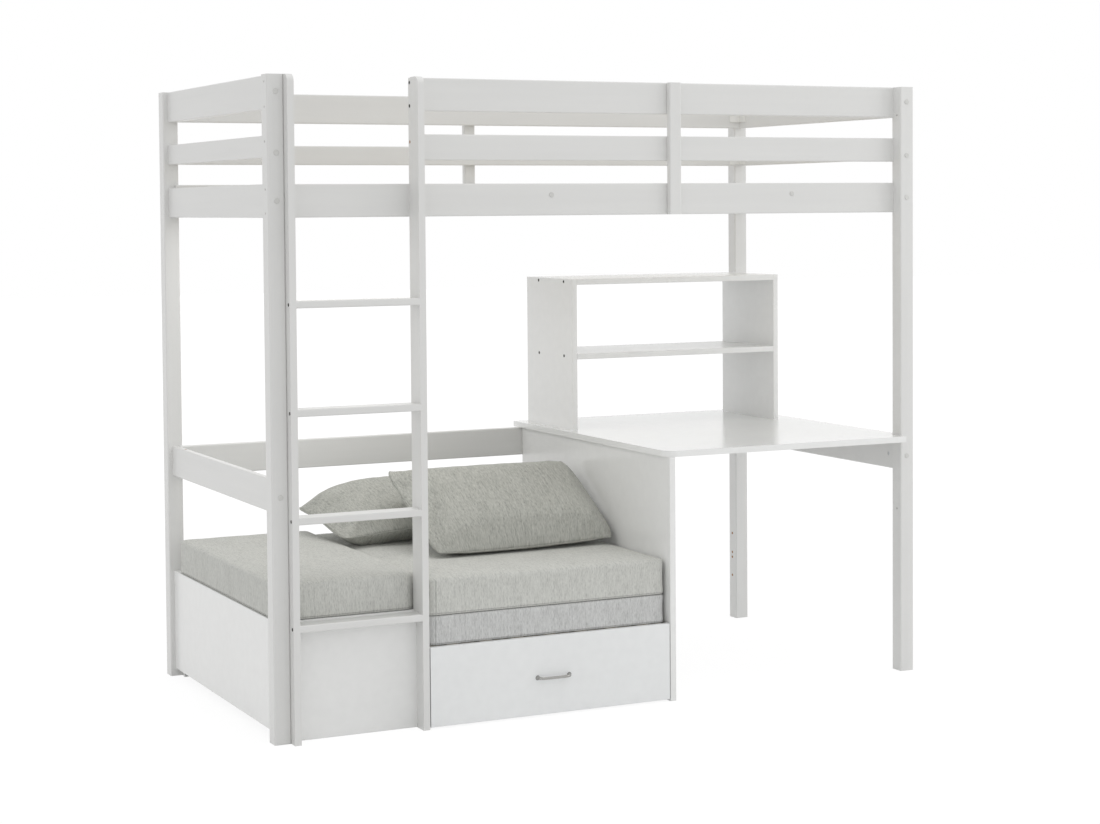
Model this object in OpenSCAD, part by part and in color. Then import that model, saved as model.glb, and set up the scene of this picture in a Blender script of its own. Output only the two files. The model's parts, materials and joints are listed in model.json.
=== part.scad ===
// Cabin bed: a loft bed for one child with a ladder, a desk with a shelf unit, and a seat
// with a pull-out bed whose slats interleave.
// Lengths are in millimetres, +X runs along the bed, +Y to its back, +Z up.
// The origin is the middle of the whole footprint, on the floor.

/* [Bed] */
// Length over the posts
bed_length = 2080; // [1980:5:2200]
// Depth over the posts
bed_depth = 1040; // [960:5:1140]
// Height of the posts
bed_height = 1805; // [1700:5:1900]
// Side of a square post
post_side = 47; // [44:1:54]
// Rounding of the posts' and rails' long edges
edge_round = 4; // [1:0.5:6]

/* [Rails] */
// Thickness of the long side rails
side_rail_thick = 22; // [18:1:26]
// Thickness of the end rails
end_rail_thick = 20; // [18:1:24]
// How far an end rail lies inside the posts' outer faces
end_rail_inset = 15; // [12:1:18]
// How deep a side rail is housed in a post
housing_depth = 8; // [5:1:10]
// Height of the low bed rails
low_rail_height = 91; // [80:1:110]
// Height of the posts' tops above the underside of the low bed rails
guard_height = 384; // [370:1:410]
// How much higher the low back rail lies
back_rail_raise = 9; // [0:1:16]
// Height of the front middle guard board
front_mid_height = 72; // [60:1:78]
// Gap between the front middle guard board and the top one
front_mid_gap = 64; // [58:1:72]
// Height of the other middle guard boards
mid_board_height = 60; // [50:1:70]
// Gap between the other middle guard boards and the top ones
mid_board_gap = 70; // [60:1:75]
// Height of the top guard boards, which end level with the posts
top_board_height = 92; // [80:1:100]
// Height of the arm rails that also carry the desk
arm_rail_height = 91; // [80:1:100]
// Underside of the arm rails above the floor
arm_rail_level = 624; // [590:1:650]
// Width of the uprights that tie the guard boards
support_width = 38; // [30:1:50]
// Thickness of those uprights
support_thick = 21; // [16:1:24]
// Left face of the front upright from the bed's left end
front_support_at = 1235; // [900:5:1700]
// Left face of the back upright from the bed's left end
back_support_at = 1012; // [900:1:1100]

/* [Ladder] */
// Thickness of a ladder stile
stile_thick = 19; // [16:1:24]
// How far the ladder stands in front of the posts
ladder_reach = 30; // [20:1:40]
// Left face of the right stile from the bed's left end
right_stile_at = 422; // [390:1:470]
// Rounding of the stiles' top corners
stile_top_round = 22; // [5:1:30]
// Number of rungs
rung_count = 4; // [3:1:5]
// Rise from one rung to the next
rung_rise = 291.5; // [250:0.5:310]
// Distance of the lowest rung's underside below the seat box's top
first_rung_drop = 24; // [20:1:60]
// Thickness of a rung
rung_thick = 20; // [16:1:26]
// Depth of a rung from front to back
rung_depth = 60; // [45:1:66]

/* [Bed base] */
// Number of slats under the upper mattress
bed_slat_count = 14; // [10:1:18]
// Width of a bed slat
bed_slat_width = 70; // [50:1:80]
// Thickness of a bed slat
bed_slat_thick = 14; // [10:1:20]
// Thickness of the ledger under the slat ends
ledger_thick = 20; // [15:1:30]
// Height of the ledger
ledger_height = 30; // [20:1:36]
// Distance of the first and last slat from the end rails
slat_end_gap = 45; // [30:1:60]

/* [Desk and shelf] */
// Thickness of the desk top
desk_thick = 18; // [16:1:25]
// How far the desk top runs over its side panel to the left
desk_overhang = 9; // [0:1:20]
// Distance of the desk top's back edge from the posts' back faces
desk_back_gap = 14; // [8:1:40]
// Distance of the desk top's right end from the posts' right faces
desk_end_gap = 18; // [15:1:30]
// Radius of the desk top's free front corner
desk_corner_radius = 42; // [10:1:80]
// Slit between the desk top and a post
desk_slit = 1; // [0.5:0.1:3]
// Left face of the desk's side panel from the bed's left end
desk_panel_at = 1202; // [1150:1:1260]
// Thickness of the side, seat and shelf panels
panel_thick = 19; // [16:1:22]
// Thickness of the shelf unit's boards
shelf_thick = 18; // [15:1:22]
// Distance of the shelf unit's right side from the right-hand posts
shelf_end_gap = 45; // [10:1:200]
// Depth of the shelf unit
shelf_depth = 335; // [250:1:360]
// Height of the shelf unit above the desk
shelf_height = 482; // [400:1:520]
// Middle of the lower board above the desk
shelf_board_level = 235; // [180:1:280]
// Distance of the shelf unit's left side from the desk panel
shelf_inset = 20; // [5:1:40]
// Distance of the shelf unit's back from the back rail
shelf_back_gap = 4; // [1:1:20]

/* [Seat box] */
// Height of the seat box
seat_height = 328; // [300:1:345]
// Thickness of the board under the seat cushion
seat_deck_thick = 12; // [9:1:18]
// Clearance under the seat box's end panel
seat_end_level = 24; // [10:1:40]

/* [Pull-out bed] */
// How far the pull-out bed travels
pull_out_travel = 880; // [600:5:890]
// Thickness of the drawer's front panel
drawer_front_thick = 18; // [16:1:20]
// Top of the drawer front above the floor
drawer_front_top = 229; // [215:1:240]
// Clearance under the drawer front
drawer_floor_gap = 6; // [3:1:12]
// Clearance beside the drawer front
drawer_side_gap = 3; // [2:0.5:5]
// Thickness of the drawer's sides, back and beams
drawer_board_thick = 18; // [15:1:20]
// Height of the drawer's sides
drawer_side_height = 140; // [100:1:145]
// Underside of the drawer's sides above the floor
drawer_side_level = 20; // [14:1:24]
// Number of fixed slats; the drawer has one fewer
fixed_slat_count = 8; // [5:1:9]
// Width of a deck slat
deck_slat_width = 38; // [30:1:40]
// Thickness of a deck slat
deck_slat_thick = 14; // [10:1:16]
// Height of the beams under the deck slats
deck_beam_height = 40; // [30:1:46]
// Running clearance between the two sets of slats and beams
deck_run_gap = 1; // [0.6:0.1:2]
// Radius of a caster wheel
wheel_radius = 22; // [16:1:24]
// Width of a caster wheel
wheel_width = 16; // [12:1:20]
// Diameter of a wheel's axle pin
axle_diameter = 8; // [6:0.5:10]
// Clearance around the axle pin
axle_clearance = 0.3; // [0.2:0.05:0.5]
// Distance between the feet of the handle
handle_span = 100; // [80:1:130]
// How far the handle stands out from the drawer front
handle_reach = 20; // [16:1:30]

/* [Cushions] */
// Thickness of the folding mattress's lower layer, pressed by the upper one
lower_layer_thick = 84; // [70:1:90]
// Thickness of its upper layer at the edge
upper_layer_thick = 103; // [80:1:110]
// Height of the crown on a cushion's free face
cushion_crown = 6; // [2:0.5:8]
// Rounding of a cushion's upper edges
cushion_round = 16; // [8:1:24]
// How far a cushion's sides draw in between its edges
side_draw = 3; // [2:0.5:6]
// Radius of a cushion's corners in plan
cushion_corner = 24; // [15:1:50]
// Thickness of the seat cushion at its edge
seat_cushion_thick = 101; // [70:1:110]
// Width of a scatter pillow
pillow_width = 595; // [450:5:600]
// Depth of a scatter pillow
pillow_depth = 390; // [300:5:400]
// Thickness of a scatter pillow at its middle
pillow_thick = 150; // [90:1:160]
// Clearance between a cushion and what it lies on
soft_gap = 0.4; // [0.3:0.1:1]

/* [Fittings] */
// Diameter of a frame bolt
bolt_diameter = 6; // [5:0.5:8]
// Diameter of the cap that covers a bolt's head
cap_diameter = 15; // [12:1:18]
// Clearance round a bolt in its bore
bolt_clearance = 0.4; // [0.3:0.1:1]
// Depth of a bolt in the end of a rail
bolt_grip = 46; // [36:1:60]
// Height of the middle end boards' bolts under those boards' middle
mid_bolt_drop = 18; // [0:1:20]
// Diameter of a barrel nut
nut_diameter = 10; // [9:0.5:12]
// Diameter of a screw's bore in a post
screw_bore = 5; // [4:0.5:7]
// Depth of a screw's bore in a post
screw_bore_depth = 12; // [8:1:16]
// Distance of the screw bores from a post's outer face
screw_bore_at = 21; // [16:1:26]
// Leg of a corner bracket
bracket_leg = 40; // [30:1:50]
// Thickness of a corner bracket
bracket_thick = 3; // [2:0.5:4]

/* [Hidden] */
$fn = 32;

// Colours
wood_white = "#ececea";
panel_white = "#f0f0ee";
slat_wood = "#e3d3b4";
metal = "#b9b9b6";
dark_plastic = "#4a4a4a";
fabric_grey = "#b4b5b2";

// Planes of the frame, measured from the front left post's outer corner
post_inner_right = bed_length - post_side;
post_inner_back = bed_depth - post_side;
front_rail_at = post_side - housing_depth;
front_rail_back = front_rail_at + side_rail_thick;
back_rail_at = bed_depth - front_rail_back;
end_rail_inner = end_rail_inset + end_rail_thick;
side_rail_length = bed_length - 2 * end_rail_inner;
end_rail_length = bed_depth - 2 * post_side;
right_end_rail_at = bed_length - end_rail_inner;
arm_rail_top = arm_rail_level + arm_rail_height;
first_rung_level = seat_height - first_rung_drop;

// Levels of the bed's rails and guard boards, counted down from the posts' tops
top_board_level = bed_height - top_board_height;
mid_board_level = top_board_level - mid_board_gap - mid_board_height;
front_mid_level = top_board_level - front_mid_gap - front_mid_height;
low_rail_level = bed_height - guard_height;
back_rail_level = low_rail_level + back_rail_raise;

// Ladder
left_stile_at = post_side;
stile_depth = ladder_reach + front_rail_at;
left_stile_right = left_stile_at + stile_thick;
right_stile_right = right_stile_at + stile_thick;
rung_length = right_stile_at - left_stile_right;

// The front guard boards start behind the right stile, which they are screwed to
guard_left = right_stile_at + stile_thick / 2;

// Desk and shelf
desk_top_level = arm_rail_top + desk_thick;
desk_right = bed_length - desk_end_gap;
desk_depth = bed_depth - desk_back_gap;
shelf_left = desk_panel_at + shelf_inset;
shelf_width = post_inner_right - shelf_end_gap - shelf_left;
shelf_front = back_rail_at - shelf_back_gap - shelf_depth;

// Seat box and pull-out bay
seat_back_at = back_rail_at - panel_thick;
bay_left = right_stile_right;
bay_width = desk_panel_at - bay_left;
drawer_left = bay_left + drawer_side_gap;
drawer_width = bay_width - 2 * drawer_side_gap;
drawer_back_face = drawer_front_thick - ladder_reach;
deck_slat_level = drawer_front_top - deck_slat_thick - 1;
deck_beam_level = deck_slat_level - deck_beam_height;
slat_total = 2 * fixed_slat_count - 1;
deck_slat_gap = (bay_width - slat_total * deck_slat_width) / (slat_total + 1);
front_beam_at = drawer_back_face + drawer_board_thick + 2;
front_beam_back = front_beam_at + drawer_board_thick + 4;
drawer_stop_gap = 3;
drawer_back_at = front_beam_back + pull_out_travel + drawer_stop_gap;
drawer_tail = drawer_back_at + drawer_board_thick;
side_inset = 3;
drawer_side_left = drawer_left + side_inset;
drawer_side_right = drawer_left + drawer_width - side_inset - drawer_board_thick;

// Casters
caster_plate = 3;
caster_gap = 1;
caster_bracket_height = 70;
caster_rim = 6;
caster_inset = 60;
front_caster_at = caster_inset;
back_caster_at = drawer_tail - caster_inset;

// Handle: a bow whose chord is the span and whose rise is the reach
handle_radius = (pow(handle_span / 2, 2) + pow(handle_reach, 2)) / (2 * handle_reach);
handle_height = 8;
handle_grip = 5;
handle_foot = 14;
handle_foot_height = 5;
handle_drop = 5;
handle_level = (drawer_front_top + drawer_floor_gap) / 2 - handle_drop;

// The footprint runs from the handle to the bolt caps on the back posts
cap_height = 2;
footprint_front = -ladder_reach - handle_reach - handle_grip / 2;
footprint_middle = (bed_depth + cap_height + footprint_front) / 2;

// Cushions
cushion_play = 2;
cushion_back_gap = 24;
crown_width = 100;
cushion_back = back_rail_at - cushion_back_gap;
mattress_left = bay_left + cushion_play;
mattress_width = bay_width - 2 * cushion_play;
mattress_front = -ladder_reach / 2;
mattress_depth = cushion_back - mattress_front;
lower_layer_level = deck_slat_level + deck_slat_thick + soft_gap;
upper_layer_level = lower_layer_level + lower_layer_thick + soft_gap;
seat_cushion_level = seat_height + soft_gap;

// Levels of the four rails at each end, and the bolts that hold them
end_rail_levels = [low_rail_level, mid_board_level, top_board_level, arm_rail_level];
end_rail_heights = [low_rail_height, mid_board_height, top_board_height, arm_rail_height];
end_rail_middles = [for (i = [0:3]) end_rail_levels[i] + end_rail_heights[i] / 2];
end_bolt_drops = [0, mid_bolt_drop, 0, 0];
bolt_levels = end_rail_middles - end_bolt_drops;
end_bolt_at = end_rail_inset + end_rail_thick / 2;
nut_at = post_side + bolt_grip - nut_diameter;
// Wood left on the outer side of a barrel nut's bore
nut_skin = 4;
nut_length = end_rail_thick - nut_skin - 1;

// Two more bolts in the front low rail, on either side of the front support
rail_bolt_before = 375;
rail_bolt_after = 430;
rail_bolt_rise = 59;
// Wood left behind such a bolt's bore
bolt_floor = 4;

// ---- Shared shapes ----

// Moves the frame's corner coordinates to the object's origin
module placed() {
    translate([-bed_length / 2, -footprint_middle, 0]) children();
}

// Rectangle with rounded corners, its lower left corner at the origin
module rounded_rect(w, h, r) {
    translate([r, 0]) square([w - 2 * r, h]);
    translate([0, r]) square([w, h - 2 * r]);
    for (x = [r, w - r], y = [r, h - r]) translate([x, y]) circle(r);
}

// Boards with rounded edges along X, Y or Z
module board_x(size, r = edge_round) {
    rotate([90, 0, 90]) linear_extrude(size.x) rounded_rect(size.y, size.z, r);
}

module board_y(size, r = edge_round) {
    translate([0, size.y, 0]) rotate([90, 0, 0]) linear_extrude(size.y) rounded_rect(size.x, size.z, r);
}

module board_z(size, r = edge_round) {
    linear_extrude(size.z) rounded_rect(size.x, size.y, r);
}

// Cylinder along X or Y from the given start
module rod_x(d, l) {
    rotate([0, 90, 0]) cylinder(d = d, h = l);
}

module rod_y(d, l) {
    rotate([-90, 0, 0]) cylinder(d = d, h = l);
}

// ---- Frame ----

// Post at the front left; housings for side rails open at its inner back corner
module post(levels, heights, outer_bores = [], inner_bores = []) {
    difference() {
        board_z([post_side, post_side, bed_height]);
        for (i = [0:len(levels) - 1])
            translate([end_rail_inner, front_rail_at, levels[i]])
                cube([post_side, post_side, heights[i]]);
        for (z = bolt_levels)
            translate([end_bolt_at, -1, z]) rod_y(bolt_diameter + 2 * bolt_clearance, post_side + 2);
        for (z = outer_bores) translate([-1, screw_bore_at, z]) rod_x(screw_bore, screw_bore_depth + 1);
        for (z = inner_bores)
            translate([post_side - screw_bore_depth, screw_bore_at, z]) rod_x(screw_bore, screw_bore_depth + 1);
    }
}

// Levels of the blind screw bores in the posts, for the brackets and for mounting the other way round
front_left_bores = [
    top_board_level + top_board_height - 20,
    top_board_level + 5,
    mid_board_level + mid_board_height - 18,
    low_rail_level + 76,
    low_rail_level + 12
];
front_right_bores = [top_board_level + 6, 505];
back_right_bores = [149, 213, 230, 297];

front_left_levels = [low_rail_level];
front_left_heights = [low_rail_height];
front_right_levels = [low_rail_level, front_mid_level, top_board_level];
front_right_heights = [low_rail_height, front_mid_height, top_board_height + 1];
back_levels = [back_rail_level, mid_board_level, top_board_level, arm_rail_level];
back_heights = [low_rail_height, mid_board_height, top_board_height + 1, arm_rail_height];

module post_front_left() {
    color(wood_white) placed() post(front_left_levels, front_left_heights, front_left_bores);
}

module post_front_right() {
    color(wood_white) placed()
        translate([bed_length, 0, 0]) mirror([1, 0, 0])
            post(front_right_levels, front_right_heights, [], front_right_bores);
}

module post_back_left() {
    color(wood_white) placed()
        translate([0, bed_depth, 0]) mirror([0, 1, 0]) post(back_levels, back_heights);
}

module post_back_right() {
    color(wood_white) placed()
        translate([bed_length, bed_depth, 0]) rotate([0, 0, 180])
            post(back_levels, back_heights, [], back_right_bores);
}

// Side rail or board from one X to the other at a level
module side_rail(x0, x1, y, level, height) {
    color(wood_white) placed() translate([x0, y, level]) board_x([x1 - x0, side_rail_thick, height]);
}

module rail_front_low() {
    difference() {
        side_rail(end_rail_inner, right_end_rail_at, front_rail_at, low_rail_level, low_rail_height);
        at_rail_bolts() translate([0, -1, 0])
            rod_y(bolt_diameter + 2 * bolt_clearance, side_rail_thick - bolt_floor + 1);
    }
}

module rail_front_mid() {
    side_rail(guard_left, right_end_rail_at, front_rail_at, front_mid_level, front_mid_height);
}

module rail_front_top() {
    side_rail(guard_left, right_end_rail_at, front_rail_at, top_board_level, top_board_height);
}

module rail_back_low() {
    side_rail(end_rail_inner, right_end_rail_at, back_rail_at, back_rail_level, low_rail_height);
}

module rail_back_mid() {
    side_rail(end_rail_inner, right_end_rail_at, back_rail_at, mid_board_level, mid_board_height);
}

module rail_back_top() {
    side_rail(end_rail_inner, right_end_rail_at, back_rail_at, top_board_level, top_board_height);
}

module rail_back_arm() {
    side_rail(end_rail_inner, right_end_rail_at, back_rail_at, arm_rail_level, arm_rail_height);
}

// End rail between two posts; each end is bored for a bolt and, from inside, a barrel nut
module end_rail(level, height, bolt_drop = 0) {
    bolt_rise = height / 2 - bolt_drop;
    translate([end_rail_inset, post_side, level]) difference() {
        board_y([end_rail_thick, end_rail_length, height]);
        for (y = [-1, end_rail_length - bolt_grip - 1])
            translate([end_rail_thick / 2, y, bolt_rise])
                rod_y(bolt_diameter + 2 * bolt_clearance, bolt_grip + 2);
        for (y = [nut_at - post_side, end_rail_length - nut_at + post_side])
            translate([nut_skin, y, bolt_rise]) rod_x(nut_diameter + 2 * bolt_clearance, end_rail_thick);
    }
}

module left_end_rail(level, height, bolt_drop = 0) {
    color(wood_white) placed() end_rail(level, height, bolt_drop);
}

module right_end_rail(level, height, bolt_drop = 0) {
    color(wood_white) placed()
        translate([bed_length, 0, 0]) mirror([1, 0, 0]) end_rail(level, height, bolt_drop);
}

module end_rail_left_low() {
    left_end_rail(low_rail_level, low_rail_height);
}

module end_rail_left_mid() {
    left_end_rail(mid_board_level, mid_board_height, mid_bolt_drop);
}

module end_rail_left_top() {
    left_end_rail(top_board_level, top_board_height);
}

// The left arm rail also has a screw bore in its top, near its back end
arm_bore_at = 885;

module end_rail_left_arm() {
    difference() {
        left_end_rail(arm_rail_level, arm_rail_height);
        placed() translate([end_bolt_at, arm_bore_at, arm_rail_top - screw_bore_depth])
            cylinder(d = screw_bore, h = screw_bore_depth + 1);
    }
}

module end_rail_right_low() {
    right_end_rail(low_rail_level, low_rail_height);
}

module end_rail_right_mid() {
    right_end_rail(mid_board_level, mid_board_height, mid_bolt_drop);
}

module end_rail_right_top() {
    right_end_rail(top_board_level, top_board_height);
}

module end_rail_right_desk() {
    right_end_rail(arm_rail_level, arm_rail_height);
}

// Upright that ties the three boards of a guard on their outer faces
module guard_support(x, y) {
    color(wood_white) placed() translate([x, y, low_rail_level])
        board_z([support_width, support_thick, bed_height - low_rail_level]);
}

module guard_support_front() {
    guard_support(front_support_at, front_rail_at - support_thick);
}

module guard_support_back() {
    guard_support(back_support_at, bed_depth - front_rail_at);
}

// ---- Ladder ----

function rung_middle(i) = first_rung_level + i * rung_rise + rung_thick / 2;

// Stile seen from its side: its top corners are rounded
module ladder_stile(x) {
    translate([x, -ladder_reach, 0])
        rotate([90, 0, 90]) linear_extrude(stile_thick) {
            square([stile_depth, bed_height - stile_top_round]);
            translate([stile_top_round, 0])
                square([stile_depth - 2 * stile_top_round, bed_height]);
            for (y = [stile_top_round, stile_depth - stile_top_round])
                translate([y, bed_height - stile_top_round]) circle(stile_top_round, $fn = 64);
        }
}

// The rungs' screws pass through the left stile
rung_screw_at = -20;

module ladder_stile_left() {
    color(wood_white) placed() difference() {
        ladder_stile(left_stile_at);
        for (i = [0:rung_count - 1])
            translate([left_stile_at - 1, rung_screw_at, rung_middle(i)]) rod_x(screw_bore, stile_thick + 2);
    }
}

// The guard boards' and the seat box's screws enter the right stile from its left face
stile_screw_at = 30;
stile_screw_levels = [
    121,
    186,
    front_mid_level + front_mid_height - 22,
    top_board_level + 13,
    top_board_level + top_board_height - 15
];

module ladder_stile_right() {
    color(wood_white) placed() difference() {
        ladder_stile(right_stile_at);
        for (z = stile_screw_levels)
            translate([right_stile_at - 1, stile_screw_at, z]) rod_x(screw_bore, screw_bore_depth + 1);
    }
}

module ladder_rungs() {
    color(wood_white) placed()
        for (i = [0:rung_count - 1])
            translate([left_stile_right, -ladder_reach, first_rung_level + i * rung_rise])
                board_x([rung_length, rung_depth, rung_thick]);
}

// ---- Bed base ----

ledger_level = low_rail_level + 4;
bed_slat_level = ledger_level + ledger_height;
bed_slat_first = end_rail_inner + slat_end_gap;
bed_slat_last = right_end_rail_at - slat_end_gap - bed_slat_width;
bed_slat_pitch = (bed_slat_last - bed_slat_first) / (bed_slat_count - 1);
bed_inner_depth = back_rail_at - front_rail_back;
bed_slat_play = 2;

module bed_ledgers() {
    color(slat_wood) placed()
        for (y = [front_rail_back, back_rail_at - ledger_thick])
            translate([bed_slat_first, y, ledger_level])
                board_x([bed_slat_last + bed_slat_width - bed_slat_first, ledger_thick, ledger_height], 2);
}

module bed_slats() {
    color(slat_wood) placed()
        for (i = [0:bed_slat_count - 1])
            translate([bed_slat_first + i * bed_slat_pitch, front_rail_back + bed_slat_play, bed_slat_level])
                board_y([bed_slat_width, bed_inner_depth - 2 * bed_slat_play, bed_slat_thick], 2);
}

// ---- Desk and shelf unit ----

// Outline of the desk top, notched round the right-hand posts, with one rounded corner
module desk_outline() {
    left = desk_panel_at - desk_overhang;
    front = -ladder_reach;
    notch = post_inner_right - desk_slit;
    r = desk_corner_radius;
    difference() {
        union() {
            translate([left + r, front]) square([notch - left - r, desk_depth - front]);
            translate([left, front + r]) square([desk_right - left, desk_depth - front - r]);
            translate([left + r, front + r]) circle(r, $fn = 96);
        }
        translate([notch, front - 1]) square([post_side * 2, post_side + desk_slit - front + 1]);
        translate([notch, post_inner_back - desk_slit]) square([post_side * 2, post_side * 2]);
    }
}

module desk_top() {
    color(panel_white) placed() translate([0, 0, arm_rail_top]) linear_extrude(desk_thick) desk_outline();
}

module desk_side_panel() {
    color(panel_white) placed() translate([desk_panel_at, -ladder_reach, 0])
        board_z([panel_thick, back_rail_at + ladder_reach, arm_rail_top], 2);
}

// Distances of the shelf screws from the shelf unit's front, and the levels of its boards' middles
shelf_screw_places = [60, 244];
shelf_screw_levels = [shelf_board_level, shelf_height - shelf_thick / 2];

// Side of the shelf unit, bored for the screws that hold its boards
module shelf_side(x) {
    color(panel_white) placed() translate([x, shelf_front, desk_top_level]) difference() {
        board_z([shelf_thick, shelf_depth, shelf_height], 2);
        for (y = shelf_screw_places, z = shelf_screw_levels)
            translate([-1, y, z]) rod_x(screw_bore, shelf_thick + 2);
    }
}

module shelf_side_left() {
    shelf_side(shelf_left);
}

module shelf_side_right() {
    shelf_side(shelf_left + shelf_width - shelf_thick);
}

module shelf_board(level) {
    color(panel_white) placed() translate([shelf_left + shelf_thick, shelf_front, level])
        board_x([shelf_width - 2 * shelf_thick, shelf_depth, shelf_thick], 2);
}

module shelf_board_top() {
    shelf_board(desk_top_level + shelf_height - shelf_thick);
}

module shelf_board_mid() {
    shelf_board(desk_top_level + shelf_board_level - shelf_thick / 2);
}

// ---- Seat box ----

module seat_end_panel() {
    color(panel_white) placed() translate([end_rail_inset, post_side, seat_end_level])
        board_y([panel_thick, end_rail_length, seat_height - seat_end_level], 2);
}

// Front panel, rebated for the lowest rung
module seat_front_panel() {
    color(panel_white) placed() difference() {
        translate([left_stile_right, front_rail_at - panel_thick, 0])
            board_x([rung_length, panel_thick, seat_height], 2);
        translate([left_stile_right - 1, -ladder_reach, first_rung_level])
            cube([rung_length + 2, rung_depth, seat_height]);
    }
}

module seat_divider() {
    color(panel_white) placed() translate([right_stile_at, front_rail_at, 0])
        board_z([panel_thick, back_rail_at - front_rail_at, seat_height], 2);
}

module seat_back_panel() {
    color(panel_white) placed() translate([end_rail_inset + panel_thick, seat_back_at, 0])
        board_x([right_stile_at - end_rail_inset - panel_thick, panel_thick, seat_height], 2);
}

module seat_deck() {
    color(panel_white) placed()
        translate([end_rail_inset + panel_thick, front_rail_at, seat_height - seat_deck_thick])
            difference() {
                cube([
                    right_stile_at - end_rail_inset - panel_thick,
                    seat_back_at - front_rail_at,
                    seat_deck_thick
                ]);
                translate([-1, -1, -1])
                    cube([
                        post_side - end_rail_inset - panel_thick + 1 + desk_slit,
                        housing_depth + desk_slit + 1,
                        seat_deck_thick + 2
                    ]);
            }
}

// ---- Fixed half of the pull-out deck ----

// X of slat i of the whole deck, fixed slats even and drawer slats odd
function deck_slat_x(i) = bay_left + deck_slat_gap + i * (deck_slat_width + deck_slat_gap);

// Slots cut in a beam's top so that the other set of slats runs over it freely
module slat_reliefs(first, count, y, depth) {
    for (i = [0:count - 1])
        translate([
            deck_slat_x(first + 2 * i) - deck_slat_gap / 2,
            y - 1,
            deck_slat_level - deck_run_gap
        ])
            cube([deck_slat_width + deck_slat_gap, depth + 2, deck_run_gap + 1]);
}

module deck_front_beam() {
    color(slat_wood) placed() difference() {
        translate([bay_left, front_beam_at, deck_beam_level])
            cube([bay_width, front_beam_back - front_beam_at, deck_beam_height]);
        slat_reliefs(1, fixed_slat_count - 1, front_beam_at, front_beam_back - front_beam_at);
    }
}

module deck_back_beam() {
    color(slat_wood) placed() translate([bay_left, back_rail_at - drawer_board_thick - 4, deck_beam_level])
        cube([bay_width, drawer_board_thick + 4, deck_beam_height]);
}

module deck_slats() {
    color(slat_wood) placed()
        for (i = [0:fixed_slat_count - 1])
            translate([deck_slat_x(2 * i), front_beam_at, deck_slat_level])
                board_y([deck_slat_width, back_rail_at - front_beam_at, deck_slat_thick], 2);
}

// ---- Drawer half of the pull-out deck ----

module drawer_front() {
    color(panel_white) placed() translate([drawer_left, -ladder_reach, drawer_floor_gap])
        board_x([drawer_width, drawer_front_thick, drawer_front_top - drawer_floor_gap], 2);
}

module drawer_header() {
    color(slat_wood) placed() translate([drawer_side_left, drawer_back_face, deck_beam_level])
        cube([
            drawer_side_right + drawer_board_thick - drawer_side_left,
            drawer_board_thick,
            deck_beam_height
        ]);
}

module drawer_sides() {
    color(panel_white) placed()
        for (x = [drawer_side_left, drawer_side_right])
            translate([x, drawer_back_face, drawer_side_level])
                cube([drawer_board_thick, drawer_back_at - drawer_back_face, drawer_side_height]);
}

// Back board: it carries the slats' tails and stops against the front beam
module drawer_back() {
    color(slat_wood) placed() difference() {
        translate([drawer_side_left, drawer_back_at, drawer_side_level])
            cube([
                drawer_side_right + drawer_board_thick - drawer_side_left,
                drawer_board_thick,
                deck_slat_level - drawer_side_level
            ]);
        slat_reliefs(0, fixed_slat_count, drawer_back_at, drawer_board_thick);
    }
}

module drawer_slats() {
    color(slat_wood) placed()
        for (i = [0:fixed_slat_count - 2])
            translate([deck_slat_x(2 * i + 1), drawer_back_face, deck_slat_level])
                board_y([deck_slat_width, drawer_tail - drawer_back_face, deck_slat_thick], 2);
}

// Bow handle: an arc of an oval bar that swells into two feet on the drawer front
module drawer_handle() {
    color(metal) placed()
        translate([drawer_left + drawer_width / 2, -ladder_reach, handle_level]) {
            difference() {
                translate([0, handle_radius - handle_reach, 0])
                    rotate_extrude($fn = 128)
                        translate([handle_radius, 0]) {
                            square([handle_grip, handle_height - handle_grip], center = true);
                            for (z = [-1, 1])
                                translate([0, z * (handle_height - handle_grip) / 2])
                                    circle(d = handle_grip, $fn = 24);
                        }
                translate([-2 * handle_radius, 0, -handle_height])
                    cube([4 * handle_radius, 4 * handle_radius, 2 * handle_height]);
            }
            for (x = [-1, 1])
                translate([x * handle_span / 2, 0, 0])
                    rotate([90, 0, 0])
                        cylinder(d1 = handle_foot, d2 = handle_height, h = handle_foot_height);
        }
}

// ---- Casters ----

caster_length = caster_plate + 2 * caster_gap + wheel_width + caster_plate;

// Caster bracket in its own frame: the plate stands at x = 0 and the wheel runs beyond it
module caster_bracket() {
    translate([0, -wheel_radius, -axle_diameter])
        board_x([caster_plate, 2 * wheel_radius, caster_bracket_height], 4);
    rod_x(axle_diameter, caster_length);
    translate([caster_length - caster_plate, 0, 0]) rod_x(axle_diameter + caster_rim, caster_plate);
}

module wheel() {
    color(dark_plastic) translate([caster_plate + caster_gap, 0, 0]) rotate([0, 90, 0])
        rotate_extrude($fn = 96) {
            bore = axle_diameter / 2 + axle_clearance;
            translate([bore, 0]) square([wheel_radius - bore - 2, wheel_width]);
            translate([bore, 2]) square([wheel_radius - bore, wheel_width - 4]);
            for (y = [2, wheel_width - 2]) translate([wheel_radius - 2, y]) circle(2, $fn = 24);
        }
}

// Puts a child at the left or right drawer side, at the given depth
module at_caster(right, y) {
    x = right ? drawer_side_right : drawer_side_left + drawer_board_thick;
    placed() translate([x, y, wheel_radius]) mirror([right ? 1 : 0, 0, 0]) children();
}

module caster_brackets() {
    color(metal)
        for (right = [false, true], y = [front_caster_at, back_caster_at])
            at_caster(right, y) caster_bracket();
}

module wheel_front_left() {
    at_caster(false, front_caster_at) wheel();
}

module wheel_front_right() {
    at_caster(true, front_caster_at) wheel();
}

module wheel_back_left() {
    at_caster(false, back_caster_at) wheel();
}

module wheel_back_right() {
    at_caster(true, back_caster_at) wheel();
}

// ---- Fittings ----

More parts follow.
